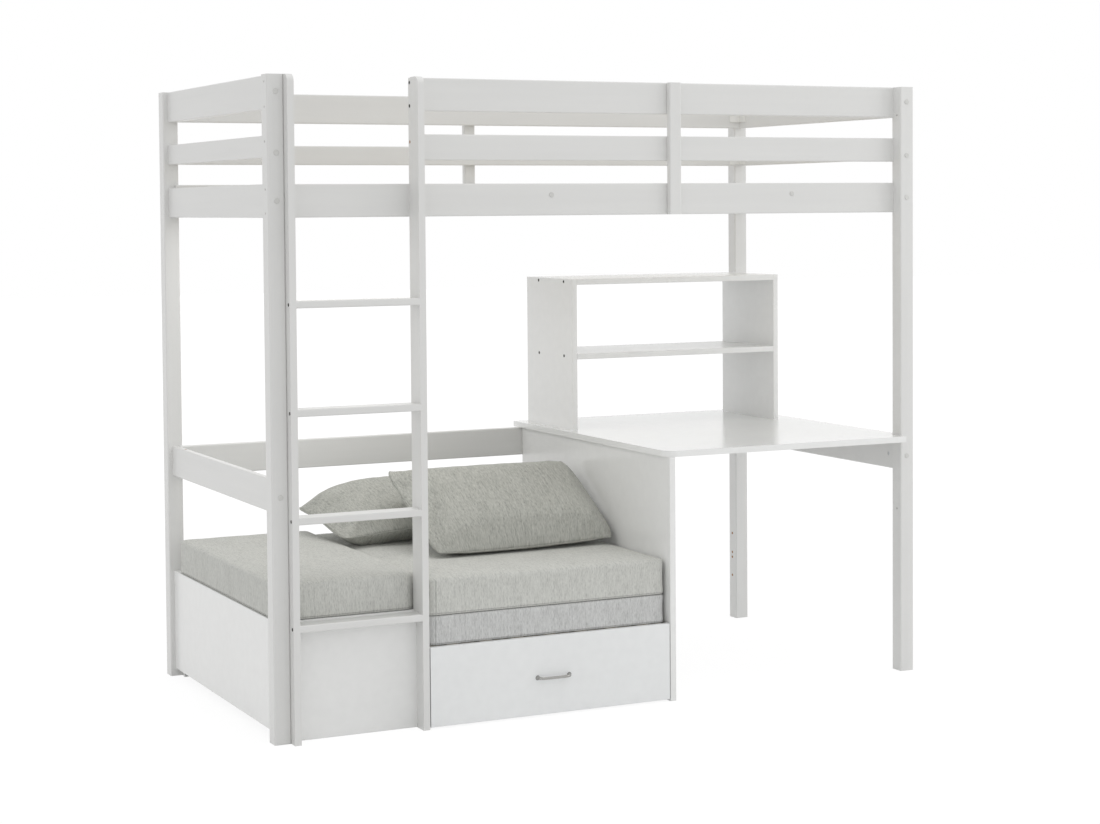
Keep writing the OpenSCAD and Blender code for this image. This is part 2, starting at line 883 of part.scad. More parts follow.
// Children at each bolt, with their x = 0 at the middle of the end rail and +X inwards
module at_bolts() {
    placed()
        for (right = [0, 1], back = [0, 1], z = bolt_levels)
            translate([right * bed_length, back * bed_depth, z])
                mirror([right, 0, 0]) mirror([0, back, 0])
                    translate([end_bolt_at, 0, 0]) children();
}

// Children at each bolt of the front low rail, on its outer face; they fasten the ledger's brackets
module at_rail_bolts() {
    placed()
        for (x = [front_support_at - rail_bolt_before, front_support_at + rail_bolt_after])
            translate([x, front_rail_at, low_rail_level + rail_bolt_rise]) children();
}

module frame_bolts() {
    color(metal) {
        at_bolts() rod_y(bolt_diameter, post_side + bolt_grip - 1);
        at_rail_bolts() rod_y(bolt_diameter, side_rail_thick - bolt_floor - 1);
    }
}

// Cap over a bolt's head: a low disc with a chamfered rim
module bolt_cap() {
    rotate([90, 0, 0]) {
        cylinder(d = cap_diameter, h = cap_height / 2);
        translate([0, 0, cap_height / 2])
            cylinder(d1 = cap_diameter, d2 = cap_diameter - cap_height, h = cap_height / 2);
    }
}

module bolt_caps() {
    color(panel_white) {
        at_bolts() bolt_cap();
        at_rail_bolts() bolt_cap();
    }
}

module barrel_nuts() {
    color(metal) at_bolts()
        difference() {
            translate([nut_skin - end_rail_thick / 2, nut_at, 0]) rod_x(nut_diameter, nut_length);
            translate([0, nut_at - nut_diameter, 0])
                rod_y(bolt_diameter + bolt_clearance, 2 * nut_diameter);
        }
}

// Angle of two legs, standing in the corner between an end rail and a side rail
module corner_bracket(height) {
    cube([bracket_leg, bracket_thick, height]);
    cube([bracket_thick, bracket_leg, height]);
}

bracket_height = 50;

module corner_brackets() {
    color(metal) placed() {
        for (i = [0:2]) {
            z = end_rail_middles[i] - bracket_height / 2;
            if (i == 0) translate([end_rail_inner, front_rail_back, z]) corner_bracket(bracket_height);
            translate([right_end_rail_at, front_rail_back, z])
                mirror([1, 0, 0]) corner_bracket(bracket_height);
        }
        for (z = end_rail_middles) {
            translate([end_rail_inner, back_rail_at, z - bracket_height / 2])
                mirror([0, 1, 0]) corner_bracket(bracket_height);
            translate([right_end_rail_at, back_rail_at, z - bracket_height / 2])
                rotate([0, 0, 180]) corner_bracket(bracket_height);
        }
    }
}

// ---- Cushions ----

// Point number i of n on a rounded rectangle w by d with corner radius r, centred
function rr_point(w, d, r, i, n) =
    let (
        q = n / 4,
        corner = floor(i / q),
        a = 90 * corner + 90 * (i - corner * q) / (q - 1),
        sx = corner == 0 || corner == 3 ? 1 : -1,
        sy = corner < 2 ? 1 : -1
    )
    [sx * (w / 2 - r) + r * cos(a), sy * (d / 2 - r) + r * sin(a)];

// Ring of points: the outline drawn in by an inset, at height z
function cushion_ring(w, d, inset, z, n) = [
    for (i = [0:n - 1])
        let (p = rr_point(w - 2 * inset, d - 2 * inset, max(cushion_corner - inset, 4), i, n))
        [p.x, p.y, z]
];

// Rounding of an edge that meets another cushion or a board
seam_round = 4;

// Inset and height of each ring, from the lower face's edge to the upper face's middle
function cushion_profile(h, crown, r) = concat(
    [for (a = [0, 45, 90]) [seam_round * (1 - sin(a)), seam_round * (1 - cos(a))]],
    [for (t = [0.2, 0.5, 0.8]) [side_draw * sin(180 * t), seam_round + t * (h - seam_round - r)]],
    [for (a = [0, 30, 60, 90]) [r * (1 - cos(a)), h - r * (1 - sin(a))]],
    [for (t = [0.15, 0.5, 1]) [r + t * crown_width, h + crown * sin(90 * t)]]
);

// Boxed cushion: flat below, its height h is measured without the crown
module cushion(w, d, h, crown, r = cushion_round, n = 48) {
    profile = cushion_profile(h, crown, r);
    rings = len(profile);
    points = [for (p = profile) each cushion_ring(w, d, p[0], p[1], n)];
    sides = [
        for (k = [0:rings - 2], i = [0:n - 1])
            let (a = k * n + i, b = k * n + (i + 1) % n)
            each [[a, b + n, b], [a, a + n, b + n]]
    ];
    lower = [for (i = [1:n - 2]) [0, i, i + 1]];
    top = (rings - 1) * n;
    upper = [for (i = [1:n - 2]) [top, top + i + 1, top + i]];
    translate([w / 2, d / 2, 0]) polyhedron(points, concat(sides, lower, upper));
}

// Flush with the seat box's left face, and cut out round the post in that corner
module seat_cushion() {
    front = front_rail_at + cushion_play;
    width = right_stile_right - end_rail_inset;
    past_post = post_side + cushion_play;
    color(fabric_grey) placed() difference() {
        translate([end_rail_inset, front, seat_cushion_level])
            cushion(width, cushion_back - front, seat_cushion_thick, cushion_crown / 2);
        translate([-1, -1, seat_height])
            cube([past_post + 1, past_post + 1, 2 * seat_cushion_thick]);
    }
}

module mattress_layer(level, thick, crown, r) {
    color(fabric_grey) placed() translate([mattress_left, mattress_front, level])
        cushion(mattress_width, mattress_depth, thick, crown, r);
}

module mattress_lower() {
    mattress_layer(lower_layer_level, lower_layer_thick, 0, seam_round);
}

module mattress_upper() {
    mattress_layer(upper_layer_level, upper_layer_thick, cushion_crown, cushion_round);
}

// Half thickness of a pillow at u, v in -1..1: full in the middle, flat at the seams
function pillow_half(u, v) = pow((1 - pow(abs(u), 2.6)) * (1 - pow(abs(v), 2.6)), 0.62);

// Share of a pillow's half width that is left towards a corner, which makes the corner blunt
function pillow_blunt(t) = 1 - pillow_corner * pow(t, 8);

// Share of a pillow's thickness that lies above its seam
pillow_upper = 0.5;
pillow_corner = 0.06;
pillow_seam = 3;
pillow_grid = 20;
pillow_steps = [for (i = [0:pillow_grid]) sin(-90 + 180 * i / pillow_grid)];

// Point of a pillow's upper (side 1) or lower (side -1) face at u, v in -1..1
function pillow_point(u, v, side) =
    let (full = pillow_thick * (side > 0 ? pillow_upper : 1 - pillow_upper))
    [
        u * pillow_width / 2 * pillow_blunt(v),
        v * pillow_depth / 2 * pillow_blunt(u),
        side * (pillow_seam + (full - pillow_seam) * pillow_half(u, v))
    ];

pillow_points = [for (side = [-1, 1], u = pillow_steps, v = pillow_steps) pillow_point(u, v, side)];

// A point turned by a.x about X, then a.y about Y, then a.z about Z
function turned(p, a) =
    let (
        y = p.y * cos(a.x) - p.z * sin(a.x),
        z = p.y * sin(a.x) + p.z * cos(a.x),
        x = p.x * cos(a.y) + z * sin(a.y)
    )
    [x * cos(a.z) - y * sin(a.z), x * sin(a.z) + y * cos(a.z), z * cos(a.y) - p.x * sin(a.y)];

// Level of the cushion or mattress under a point of the seat
function rest_level(x) =
    x < mattress_left
        ? seat_cushion_level + seat_cushion_thick + cushion_crown / 2
        : upper_layer_level + upper_layer_thick + cushion_crown;

// Level of a pillow's middle when the turned pillow just lies on what is under it
function pillow_level(x, angles) =
    soft_gap + max([for (p = pillow_points) let (q = turned(p, angles)) rest_level(x + q.x) - q.z]);

// Scatter pillow, centred: the grids of its two faces, joined by a narrow rim at the seam
module pillow() {
    n = pillow_grid;
    row = n + 1;
    count = row * row;
    lower = [
        for (i = [0:n - 1], j = [0:n - 1])
            let (a = i * row + j, b = a + row)
            each [[a, b, b + 1], [a, b + 1, a + 1]]
    ];
    upper = [for (f = lower) [f[0] + count, f[2] + count, f[1] + count]];
    edges = [
        for (i = [0:n - 1])
            each [
                [i * row, (i + 1) * row],
                [(i + 1) * row + n, i * row + n],
                [i + 1, i],
                [n * row + i, n * row + i + 1]
            ]
    ];
    rim = [for (e = edges) each [[e[0], e[1] + count, e[1]], [e[0], e[0] + count, e[1] + count]]];
    polyhedron(pillow_points, concat(lower, upper, rim));
}

// Puts a pillow on the seat: its middle in plan and its angles
module on_seat(x, y, angles) {
    color(fabric_grey) placed() translate([x, y, pillow_level(x, angles)]) rotate(angles) pillow();
}

// Distances of the right pillow from the desk panel and the back rail, and its angles
pillow_right_gap = 17;
pillow_right_back = 351;
pillow_right_angles = [30.5, 0, 1];

module pillow_right() {
    x = desk_panel_at - pillow_width / 2 - pillow_right_gap;
    y = back_rail_at - pillow_depth / 2 - pillow_right_back;
    on_seat(x, y, pillow_right_angles);
}

// Overhang of the left pillow on the seat cushion, its distance from the back rail, and its angles
pillow_left_overhang = 22;
pillow_left_back = 29;
pillow_left_angles = [9, -7, 5];

module pillow_left() {
    x = bay_left + pillow_width / 2 - pillow_left_overhang;
    y = back_rail_at - pillow_depth / 2 - pillow_left_back;
    on_seat(x, y, pillow_left_angles);
}

post_front_left();
post_front_right();
post_back_left();
post_back_right();
rail_front_low();
rail_front_mid();
rail_front_top();
rail_back_low();
rail_back_mid();
rail_back_top();
rail_back_arm();
end_rail_left_low();
end_rail_left_mid();
end_rail_left_top();
end_rail_left_arm();
end_rail_right_low();
end_rail_right_mid();
end_rail_right_top();
end_rail_right_desk();
guard_support_front();
guard_support_back();
ladder_stile_left();
ladder_stile_right();
ladder_rungs();
bed_ledgers();
bed_slats();
desk_top();
desk_side_panel();
shelf_side_left();
shelf_side_right();
shelf_board_top();
shelf_board_mid();
seat_end_panel();
seat_front_panel();
seat_divider();
seat_back_panel();
seat_deck();
deck_front_beam();
deck_back_beam();
deck_slats();
drawer_front();
drawer_header();
drawer_sides();
drawer_back();
drawer_slats();
drawer_handle();
caster_brackets();
wheel_front_left();
wheel_front_right();
wheel_back_left();
wheel_back_right();
frame_bolts();
bolt_caps();
barrel_nuts();
corner_brackets();
seat_cushion();
mattress_lower();
mattress_upper();
pillow_left();
pillow_right();
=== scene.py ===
# %% [markdown]
# # A white cabin bed with a desk and a pull-out seat
# The rigid parts of this bed come from a CAD model and stay exactly as they are: posts, rails, boards and slats
# only get finishes here. What CAD draws plainly is made again in this file: the foam cushions with their woven
# covers, the two pillows, the bow handle and the casters' wheels. Screw heads and the rims of drilled holes are
# added. Everything is in metres, in the CAD frame.

# %% Load the frame
import json
import math
import bmesh
import bpy
import numpy as np
from mathutils import Matrix, Vector


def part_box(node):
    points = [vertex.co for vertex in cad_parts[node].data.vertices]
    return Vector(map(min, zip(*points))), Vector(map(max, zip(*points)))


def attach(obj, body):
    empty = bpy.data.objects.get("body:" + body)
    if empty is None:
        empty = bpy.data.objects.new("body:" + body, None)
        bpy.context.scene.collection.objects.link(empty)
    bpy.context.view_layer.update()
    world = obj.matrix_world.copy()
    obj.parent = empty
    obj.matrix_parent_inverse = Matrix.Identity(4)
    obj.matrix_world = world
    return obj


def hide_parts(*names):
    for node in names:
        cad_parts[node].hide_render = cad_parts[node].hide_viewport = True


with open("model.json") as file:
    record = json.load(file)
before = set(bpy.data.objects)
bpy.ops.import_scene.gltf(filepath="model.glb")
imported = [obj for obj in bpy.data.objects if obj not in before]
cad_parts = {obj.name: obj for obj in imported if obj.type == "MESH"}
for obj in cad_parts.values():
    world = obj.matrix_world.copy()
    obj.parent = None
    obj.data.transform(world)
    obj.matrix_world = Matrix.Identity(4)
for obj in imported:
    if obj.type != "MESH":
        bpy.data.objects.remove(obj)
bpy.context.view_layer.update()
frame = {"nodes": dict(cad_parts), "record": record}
MM = 0.001

# %% [markdown]
# ## The camera
# The picture is taken from the front left, a little below the height of the upper bed. A camera could be aimed at a
# point, but this view is known as three angles, and the camera's own three axes are worked out from them. Its place
# is counted from the foot of the front left post, so that the view stays right wherever the bed's frame lies. A small
# shift lets the camera look almost level.

# %% Camera
VIEW_YAW, VIEW_PITCH, VIEW_ROLL = (math.radians(a) for a in (25.891, -2.475, -0.422))
VIEW_FROM = Vector((-1.8744, -5.5789, 1.4437))
LENS, LENS_SHIFT = 71.616, -0.10


def view_matrix(place, yaw, pitch, roll):
    """Ahead is (sin yaw cos pitch, cos yaw cos pitch, sin pitch); right and up are turned by the roll about it."""
    ahead = np.array([math.sin(yaw) * math.cos(pitch), math.cos(yaw) * math.cos(pitch), math.sin(pitch)])
    level = np.array([math.cos(yaw), -math.sin(yaw), 0.0])
    above = np.cross(level, ahead)
    right = level * math.cos(roll) + above * math.sin(roll)
    up = above * math.cos(roll) - level * math.sin(roll)
    m = np.eye(4)
    m[:3, 0], m[:3, 1], m[:3, 2], m[:3, 3] = right, up, -ahead, place
    return Matrix(m.tolist())


post_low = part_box("post_front_left")[0]
FOOT = Vector((post_low.x, post_low.y, 0))
lens_data = bpy.data.cameras.new("photo_camera")
lens_data.sensor_fit = "HORIZONTAL"
lens_data.sensor_width = 36
lens_data.lens = LENS
lens_data.shift_y = LENS_SHIFT
camera = bpy.data.objects.new("photo_camera", lens_data)
camera.matrix_world = view_matrix(VIEW_FROM + FOOT, VIEW_YAW, VIEW_PITCH, VIEW_ROLL)
bpy.context.collection.objects.link(camera)
bpy.context.scene.camera = camera
bpy.context.scene.view_settings.view_transform = "Standard"
print("camera at", [round(x, 3) for x in camera.location])

# %% [markdown]
# ## A small vocabulary for node materials
# Node trees get long when each node takes four lines. These helpers put a node in a tree, fill its sockets with
# plain values or links, and give back the output that is wanted. They work in a material and in a node group alike.

# %% Node helpers


def put(tree, kind, out=0, inputs=None, **settings):
    """One node: settings are its properties, inputs fill its sockets by name or number; gives back an output."""
    n = tree.nodes.new("ShaderNode" + kind)
    for key, value in settings.items():
        setattr(n, key, value)
    for key, value in (inputs or {}).items():
        socket = n.inputs[key]
        if isinstance(value, bpy.types.NodeSocket):
            tree.links.new(value, socket)
        else:
            socket.default_value = value
    return n.outputs[out]


def calc(tree, operation, *values):
    """A Math node on up to three values or links."""
    return put(tree, "Math", 0, dict(enumerate(values)), operation=operation)


def stretched(tree, where, by):
    """A vector link multiplied part by part: a small number makes a pattern long in that direction."""
    return put(tree, "VectorMath", 0, {0: where, 1: by}, operation="MULTIPLY")


def noise(tree, where, scale, detail=2.0, rough=0.5):
    """A plain 3D noise of that scale; where is a vector link in metres, so scale counts features a metre."""
    return put(tree, "TexNoise", 0, {"Vector": where, "Scale": scale, "Detail": detail, "Roughness": rough})


def remap(tree, value, low, high, to_low=0.0, to_high=1.0):
    """Carry low..high over to to_low..to_high, held at both ends."""
    return put(tree, "MapRange", 0, {0: value, 1: low, 2: high, 3: to_low, 4: to_high})


def mix(tree, factor, a, b, how="MIX"):
    """A colour mix; a and b are colours or links."""
    return put(tree, "Mix", 2, {0: factor, 6: a, 7: b}, data_type="RGBA", blend_type=how)


def new_group(name, ins, outs):
    """A shader node group: ins and outs are (name, kind, default) of its sockets."""
    g = bpy.data.node_groups.new(name, "ShaderNodeTree")
    for kind_of, sockets in (("INPUT", ins), ("OUTPUT", outs)):
        for label, kind, default in sockets:
            s = g.interface.new_socket(label, in_out=kind_of, socket_type="NodeSocket" + kind)
            if default is not None:
                s.default_value = default
    return g, g.nodes.new("NodeGroupInput").outputs, g.nodes.new("NodeGroupOutput").inputs


def use_group(tree, group, inputs):
    """Place a group in a tree, fill its inputs and give back all its outputs by name."""
    n = tree.nodes.new("ShaderNodeGroup")
    n.node_tree = group
    for key, value in inputs.items():
        if isinstance(value, bpy.types.NodeSocket):
            tree.links.new(value, n.inputs[key])
        else:
            n.inputs[key].default_value = value
    return n.outputs


def new_material(name):
    """A material with its Principled BSDF; gives back the material, its tree and the shader's inputs."""
    m = bpy.data.materials.new(name)
    m.use_nodes = True
    return m, m.node_tree, m.node_tree.nodes["Principled BSDF"].inputs


def dress(tree, b, colour, rough, height, distance, strength=1.0):
    """Feed the shader its colour, its roughness, and a bump whose height 1 stands for that distance in metres."""
    bump = put(tree, "Bump", 0, {"Height": height, "Distance": distance, "Strength": strength})
    for value, socket in ((colour, "Base Color"), (rough, "Roughness"), (bump, "Normal")):
        tree.links.new(value, b[socket])


def here(tree):
    """Object coordinates, which are metres in the CAD frame."""
    return put(tree, "TexCoord", "Object")


def grey(tree, value):
    """The grey whose red, green and blue are all that value."""
    return put(tree, "CombineColor", 0, {0: value, 1: value, 2: value})


print("node helpers ready")

# %% [markdown]
# ## The studio
# The bed stands on a pale floor in a white studio. A bright sky would wash out white furniture, so the white that
# the camera sees comes from Light Path: only camera, glossy and transmission rays see the bright background, and the
# bed itself is lit by a dimmer sky and three lamps. The floor is partly bright for the camera too, so that it blends
# into the white but still takes a shadow.

# %% World and floor


def seen_by_eye(tree):
    """1 for camera, glossy and transmission rays, 0 for the rays that carry light to surfaces."""
    path = tree.nodes.new("ShaderNodeLightPath").outputs
    eye = calc(tree, "MAXIMUM", path["Is Camera Ray"], path["Is Glossy Ray"])
    return calc(tree, "MAXIMUM", eye, path["Is Transmission Ray"])


SKY, FLOOR, FLOOR_GLOW = 0.79, 30.0, 1.06
world = bpy.data.worlds.new("white_studio")
bpy.context.scene.world = world
world.use_nodes = True
wt = world.node_tree
strength = remap(wt, seen_by_eye(wt), 0, 1, SKY, 1.0)
background = wt.nodes["Background"].inputs
background["Color"].default_value = (1, 1, 1, 1)
wt.links.new(strength, background["Strength"])

floor_mesh = bpy.data.meshes.new("studio_floor")
floor_corners = [(-FLOOR, -FLOOR, 0), (FLOOR, -FLOOR, 0), (FLOOR, FLOOR, 0), (-FLOOR, FLOOR, 0)]
floor_mesh.from_pydata(floor_corners, [], [(0, 1, 2, 3)])
floor = bpy.data.objects.new("studio_floor", floor_mesh)
bpy.context.collection.objects.link(floor)

floor_mat, ft, fb = new_material("pale_floor")
fb["Base Color"].default_value = (0.9, 0.9, 0.9, 1)
fb["Roughness"].default_value = 0.9
fb["Specular IOR Level"].default_value = 0.0
white_glow = put(ft, "Emission", 0, {"Color": (1, 1, 1, 1), "Strength": FLOOR_GLOW})
away = put(ft, "VectorMath", 1, {0: here(ft)}, operation="LENGTH")
# the glow's share is 0.86 within 1.6 m of the middle, where shadows fall, and grows to 1 at 5 m
share = calc(ft, "MULTIPLY", seen_by_eye(ft), remap(ft, away, 1.6, 5.0, 0.86, 1.0))
both = put(ft, "MixShader", 0, {0: share, 1: ft.nodes["Principled BSDF"].outputs[0], 2: white_glow})
ft.links.new(both, ft.nodes["Material Output"].inputs["Surface"])
floor_mesh.materials.append(floor_mat)
print("sky strength", SKY, "floor half-width", FLOOR)

# %% [markdown]
# ## Three soft lamps
# Furniture is lit by large soft lamps, whose shadows have no hard edges. A sun lamp would be simpler, but its shadows
# are crisp. One square lamp stands at the right, one hangs overhead, and a small faint one shines down on the seat
# from under the upper bed, where the sky doesn't reach. That one is hidden from the camera, as it hangs in its view.

# %% Three soft lamps


def soft_lamp(name, place, target, size, power):
    """A square area lamp of that size and power in watts, turned to a target."""
    data = bpy.data.lights.new(name, "AREA")
    data.size, data.energy = size, power
    lamp = bpy.data.objects.new(name, data)
    lamp.location = place
    lamp.rotation_euler = (Vector(target) - Vector(place)).to_track_quat("-Z", "Y").to_euler()
    bpy.context.collection.objects.link(lamp)
    return lamp


soft_lamp("right_lamp", (4.2, -2.2, 2.0), (0.6, 0.1, 0.8), size=2.2, power=25)
soft_lamp("top_lamp", (0.4, -0.9, 4.4), (0.2, 0.0, 0.0), size=3.0, power=20)
soft_lamp("seat_lamp", (-0.62, 0.1, 1.34), (-0.85, 0.1, 0.0), size=0.7, power=1.7).visible_camera = False

# %% [markdown]
# ## White lacquer, as a group
# Lacquered wood looks plain until light grazes it. Then three things show: the sprayed film's fine orange peel, the
# wood's grain that telegraphs through the film as long shallow lines, and slow changes of gloss. The group works them
# out from coordinates in metres. Its Stretch input is the grain's direction: a small number along the board keeps the
# lines long. It only puts out a colour, a roughness and a height; the shader stays in each material.

# %% Lacquer group
LINES, FIGURE, PEEL, PATCHES, DRIFT = 260.0, 34.0, 520.0, 90.0, 2.2  # features a metre
lacquer_film, gi, go = new_group(
    "lacquer_film",
    [("Place", "Vector", None), ("Stretch", "Vector", (1, 1, 1)), ("Paint", "Color", (0.84, 0.84, 0.83, 1)),
     ("Grain", "Float", 0.5), ("Gloss", "Float", 0.35)],
    [("Color", "Color", None), ("Roughness", "Float", None), ("Height", "Float", None)],
)
t = lacquer_film
along = stretched(t, gi["Place"], gi["Stretch"])
lines = noise(t, along, LINES, 3.0, 0.6)
figure = noise(t, along, FIGURE, 2.0, 0.5)
peel = noise(t, gi["Place"], PEEL, 1.0, 0.4)
drift = noise(t, gi["Place"], DRIFT, 1.0, 0.5)
relief = calc(t, "MULTIPLY", calc(t, "ADD", lines, calc(t, "MULTIPLY", figure, 0.8)), gi["Grain"])
t.links.new(calc(t, "ADD", relief, calc(t, "MULTIPLY", peel, 0.1)), go["Height"])
shade = remap(t, figure, 0.3, 0.7, 0.985, 1.01)
shade = calc(t, "MULTIPLY", shade, remap(t, drift, 0.3, 0.7, 0.985, 1.01))
t.links.new(mix(t, 1.0, gi["Paint"], grey(t, shade), "MULTIPLY"), go["Color"])
patches = calc(t, "SUBTRACT", noise(t, along, PATCHES), 0.5)
dull = calc(t, "MULTIPLY", patches, calc(t, "MULTIPLY", gi["Grain"], 0.25))
slow = calc(t, "MULTIPLY", calc(t, "SUBTRACT", drift, 0.5), 0.12)
t.links.new(calc(t, "ADD", calc(t, "ADD", gi["Gloss"], dull), slow), go["Roughness"])
print("group lacquer_film:", len(t.nodes), "nodes")

# %% [markdown]
# ## White wood and white board
# Posts, rails, stiles and rungs are solid pine under the film, so their grain shows faintly along their length. The
# desk, the shelf unit and the panels are coated board, which is flatter, paler and a little glossier, and the desk
# top mirrors what stands on it. One material with switches could serve all of them, but small ones that share the
# group are easier to follow.

# %% White wood and white board


def white_finish(name, stretch, paint, grain, gloss, relief_mm):
    """A lacquered material: the film group with its own values, on a Principled BSDF."""
    m, tree, b = new_material(name)
    film = use_group(tree, lacquer_film, {
        "Place": here(tree), "Stretch": stretch, "Paint": (*paint, 1), "Grain": grain, "Gloss": gloss})
    dress(tree, b, film["Color"], film["Roughness"], film["Height"], relief_mm * MM, 0.6)
    b["IOR"].default_value = 1.5
    b["Coat Weight"].default_value = 0.12
    b["Coat Roughness"].default_value = 0.2
    return m


WOOD_WHITE = (0.755, 0.755, 0.742)
BOARD_WHITE = (0.865, 0.868, 0.858)
FRONT_WHITE = (0.86, 0.872, 0.872)
EVEN = (1, 1, 1)
lacquered = {
    axis: white_finish("lacquered_wood_" + axis, stretch, WOOD_WHITE, grain=0.55, gloss=0.34, relief_mm=0.05)
    for axis, stretch in (("x", (0.05, 1, 1)), ("y", (1, 0.05, 1)), ("z", (1, 1, 0.05)))
}
desk_finish = white_finish("lacquered_desk_top", EVEN, BOARD_WHITE, grain=0.04, gloss=0.2, relief_mm=0.006)
desk_finish.node_tree.nodes["Principled BSDF"].inputs["Coat Weight"].default_value = 0.6
board_finish = white_finish("lacquered_board", EVEN, BOARD_WHITE, grain=0.04, gloss=0.25, relief_mm=0.008)
front_finish = white_finish("lacquered_front", EVEN, FRONT_WHITE, grain=0.04, gloss=0.3, relief_mm=0.008)
print("white finishes: wood along", list(lacquered), "and three boards")

# %% [markdown]
# ## Bare pine for the slats
# Slats are seldom lacquered: they stay pale softwood. Growth rings cut lengthwise give long bands, so the pattern is
# a wave of bands, bent by a slow noise and stretched along the slat, with fine pores over it. A picture of wood would
# look real too, but it would repeat on every slat.

# %% Slat wood
pine_grain, gi, go = new_group(
    "pine_grain",
    [("Place", "Vector", None), ("Stretch", "Vector", (1, 1, 1))],
    [("Color", "Color", None), ("Roughness", "Float", None), ("Height", "Float", None)],
)
t = pine_grain
along = stretched(t, gi["Place"], gi["Stretch"])
bend = noise(t, along, 9.0, 2.0)
rings = put(t, "TexWave", 1, {
    "Vector": along, "Scale": 26.0, "Distortion": 5.0, "Detail": 2.0, "Detail Scale": 1.2,
    "Phase Offset": calc(t, "MULTIPLY", bend, 9.0)}, bands_direction="DIAGONAL")
pores = noise(t, along, 420.0, 2.0)
pale = mix(t, remap(t, rings, 0.2, 0.95), (0.80, 0.75, 0.65, 1), (0.73, 0.66, 0.54, 1))
t.links.new(mix(t, remap(t, pores, 0.45, 0.75, 0.0, 0.25), pale, (0.58, 0.49, 0.38, 1)), go["Color"])
t.links.new(remap(t, pores, 0.3, 0.7, 0.5, 0.68), go["Roughness"])
t.links.new(calc(t, "ADD", calc(t, "MULTIPLY", rings, 0.4), pores), go["Height"])


def pine(name, stretch):
    """Sanded softwood with the grain along one axis."""
    m, tree, b = new_material(name)
    grain = use_group(tree, pine_grain, {"Place": here(tree), "Stretch": stretch})
    dress(tree, b, grain["Color"], grain["Roughness"], grain["Height"], 0.12 * MM, 0.7)
    return m


pine_y, pine_x = pine("pine_along_y", (1, 0.06, 1)), pine("pine_along_x", (0.06, 1, 1))
print("group pine_grain:", len(t.nodes), "nodes")

# %% [markdown]
# ## Metal and plastic
# The handle is satin nickel, brushed along its length, in a colour darker than bare nickel: a painted reflection of
# darker surroundings than this white studio. Bolts and casters' brackets are zinc-plated steel with the cloudy patches
# that plating has, the corner brackets are coated white and the screws blackened. Tyres are dark plastic and bolt caps
# white plastic, both finely textured, and a drilled hole shows raw brown wood. Metal gets its life from its roughness,
# plastic from its relief, so there is one function for each.

# %% Metal and plastic


def metal(name, colour, rough, scratch_scale, streak):
    """Metal whose roughness and height follow fine scratches; streak squeezes them along one direction."""
    m, tree, b = new_material(name)
    place = here(tree)
    scratches = noise(tree, stretched(tree, place, streak), scratch_scale, 3.0, 0.65)
    clouds = noise(tree, place, 45.0, 2.0)
    dim = tuple(c * 0.9 for c in colour)
    patchy = mix(tree, remap(tree, clouds, 0.35, 0.65), (*dim, 1), (*colour, 1))
    dress(tree, b, patchy, remap(tree, scratches, 0.25, 0.75, rough - 0.07, rough + 0.1), scratches, 0.02 * MM, 0.5)
    b["Metallic"].default_value = 1.0
    return m


def moulded(name, colour, rough, grain_scale):
    """Moulded plastic with a fine spark-eroded texture."""
    m, tree, b = new_material(name)
    texture = noise(tree, here(tree), grain_scale, 2.0, 0.6)
    tint = remap(tree, noise(tree, here(tree), 20.0), 0.3, 0.7, 0.94, 1.04)
    tinted = mix(tree, 1.0, (*colour, 1), grey(tree, tint), "MULTIPLY")
    dress(tree, b, tinted, remap(tree, texture, 0.3, 0.7, rough - 0.06, rough + 0.06), texture, 0.06 * MM, 0.5)
    return m


# painted reflection: the nickel is coloured darker than bare nickel, for the darker surroundings a real handle mirrors
nickel = metal("brushed_nickel", (0.39, 0.385, 0.37), rough=0.2, scratch_scale=900.0, streak=(0.12, 1, 1))
zinc = metal("zinc_plate", (0.63, 0.64, 0.66), rough=0.36, scratch_scale=500.0, streak=EVEN)
black_oxide = metal("black_oxide_screw", (0.035, 0.033, 0.03), rough=0.42, scratch_scale=1200.0, streak=EVEN)
white_cap = moulded("white_cap_plastic", (0.66, 0.66, 0.64), rough=0.42, grain_scale=1400.0)
white_steel = moulded("white_coated_steel", (0.83, 0.83, 0.81), rough=0.36, grain_scale=900.0)
dark_tyre = moulded("dark_tyre_plastic", (0.035, 0.036, 0.038), rough=0.5, grain_scale=1600.0)
raw_bore, rt, rb = new_material("raw_wood_bore")
drilled = noise(rt, here(rt), 900.0, 2.0)
browns = mix(rt, drilled, (0.33, 0.16, 0.075, 1), (0.48, 0.27, 0.14, 1))
dress(rt, rb, browns, remap(rt, drilled, 0.3, 0.7, 0.7, 0.9), drilled, 0.15 * MM)
print("metals and plastics ready")

# %% [markdown]
# ## Give every CAD node its finish
# The grain runs along each board, so the finish is chosen by the longest side of the node's box. Boards made of
# coated panel have no grain. Nodes made of many pieces side by side, such as slats, are picked out by slot or name. A
# list of all sixty nodes would do too, but rules like these stay right when a board changes its size.

# %% Finishes on the CAD nodes
BY_NODE = {"drawer_handle": nickel, "corner_brackets": white_steel, "drawer_front": front_finish,
           "desk_top": desk_finish}
BY_SLOT = {"steel": zinc, "white_plastic": white_cap, "wheel_plastic": dark_tyre, "white_panel": board_finish}
slot_of = {s["node"]: s["material_slot"] for s in frame["record"]["subparts"]}


def longest(node):
    """x, y or z: the axis along which the node is longest."""
    lo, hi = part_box(node)
    return "xyz"[int(np.argmax(np.array(hi) - np.array(lo)))]


def finish_for(node):
    """The material of a CAD node: slats by name, the rest by name, by slot, or as wood by the longest side."""
    if slot_of[node] == "slat_wood":
        return pine_x if "ledger" in node else pine_y
    wood = lacquered["x" if "rung" in node else longest(node)]
    return BY_NODE.get(node) or BY_SLOT.get(slot_of[node]) or wood


for node, obj in frame["nodes"].items():
    obj.data.materials.clear()
    obj.data.materials.append(finish_for(node))
print("finished", len(frame["nodes"]), "nodes")
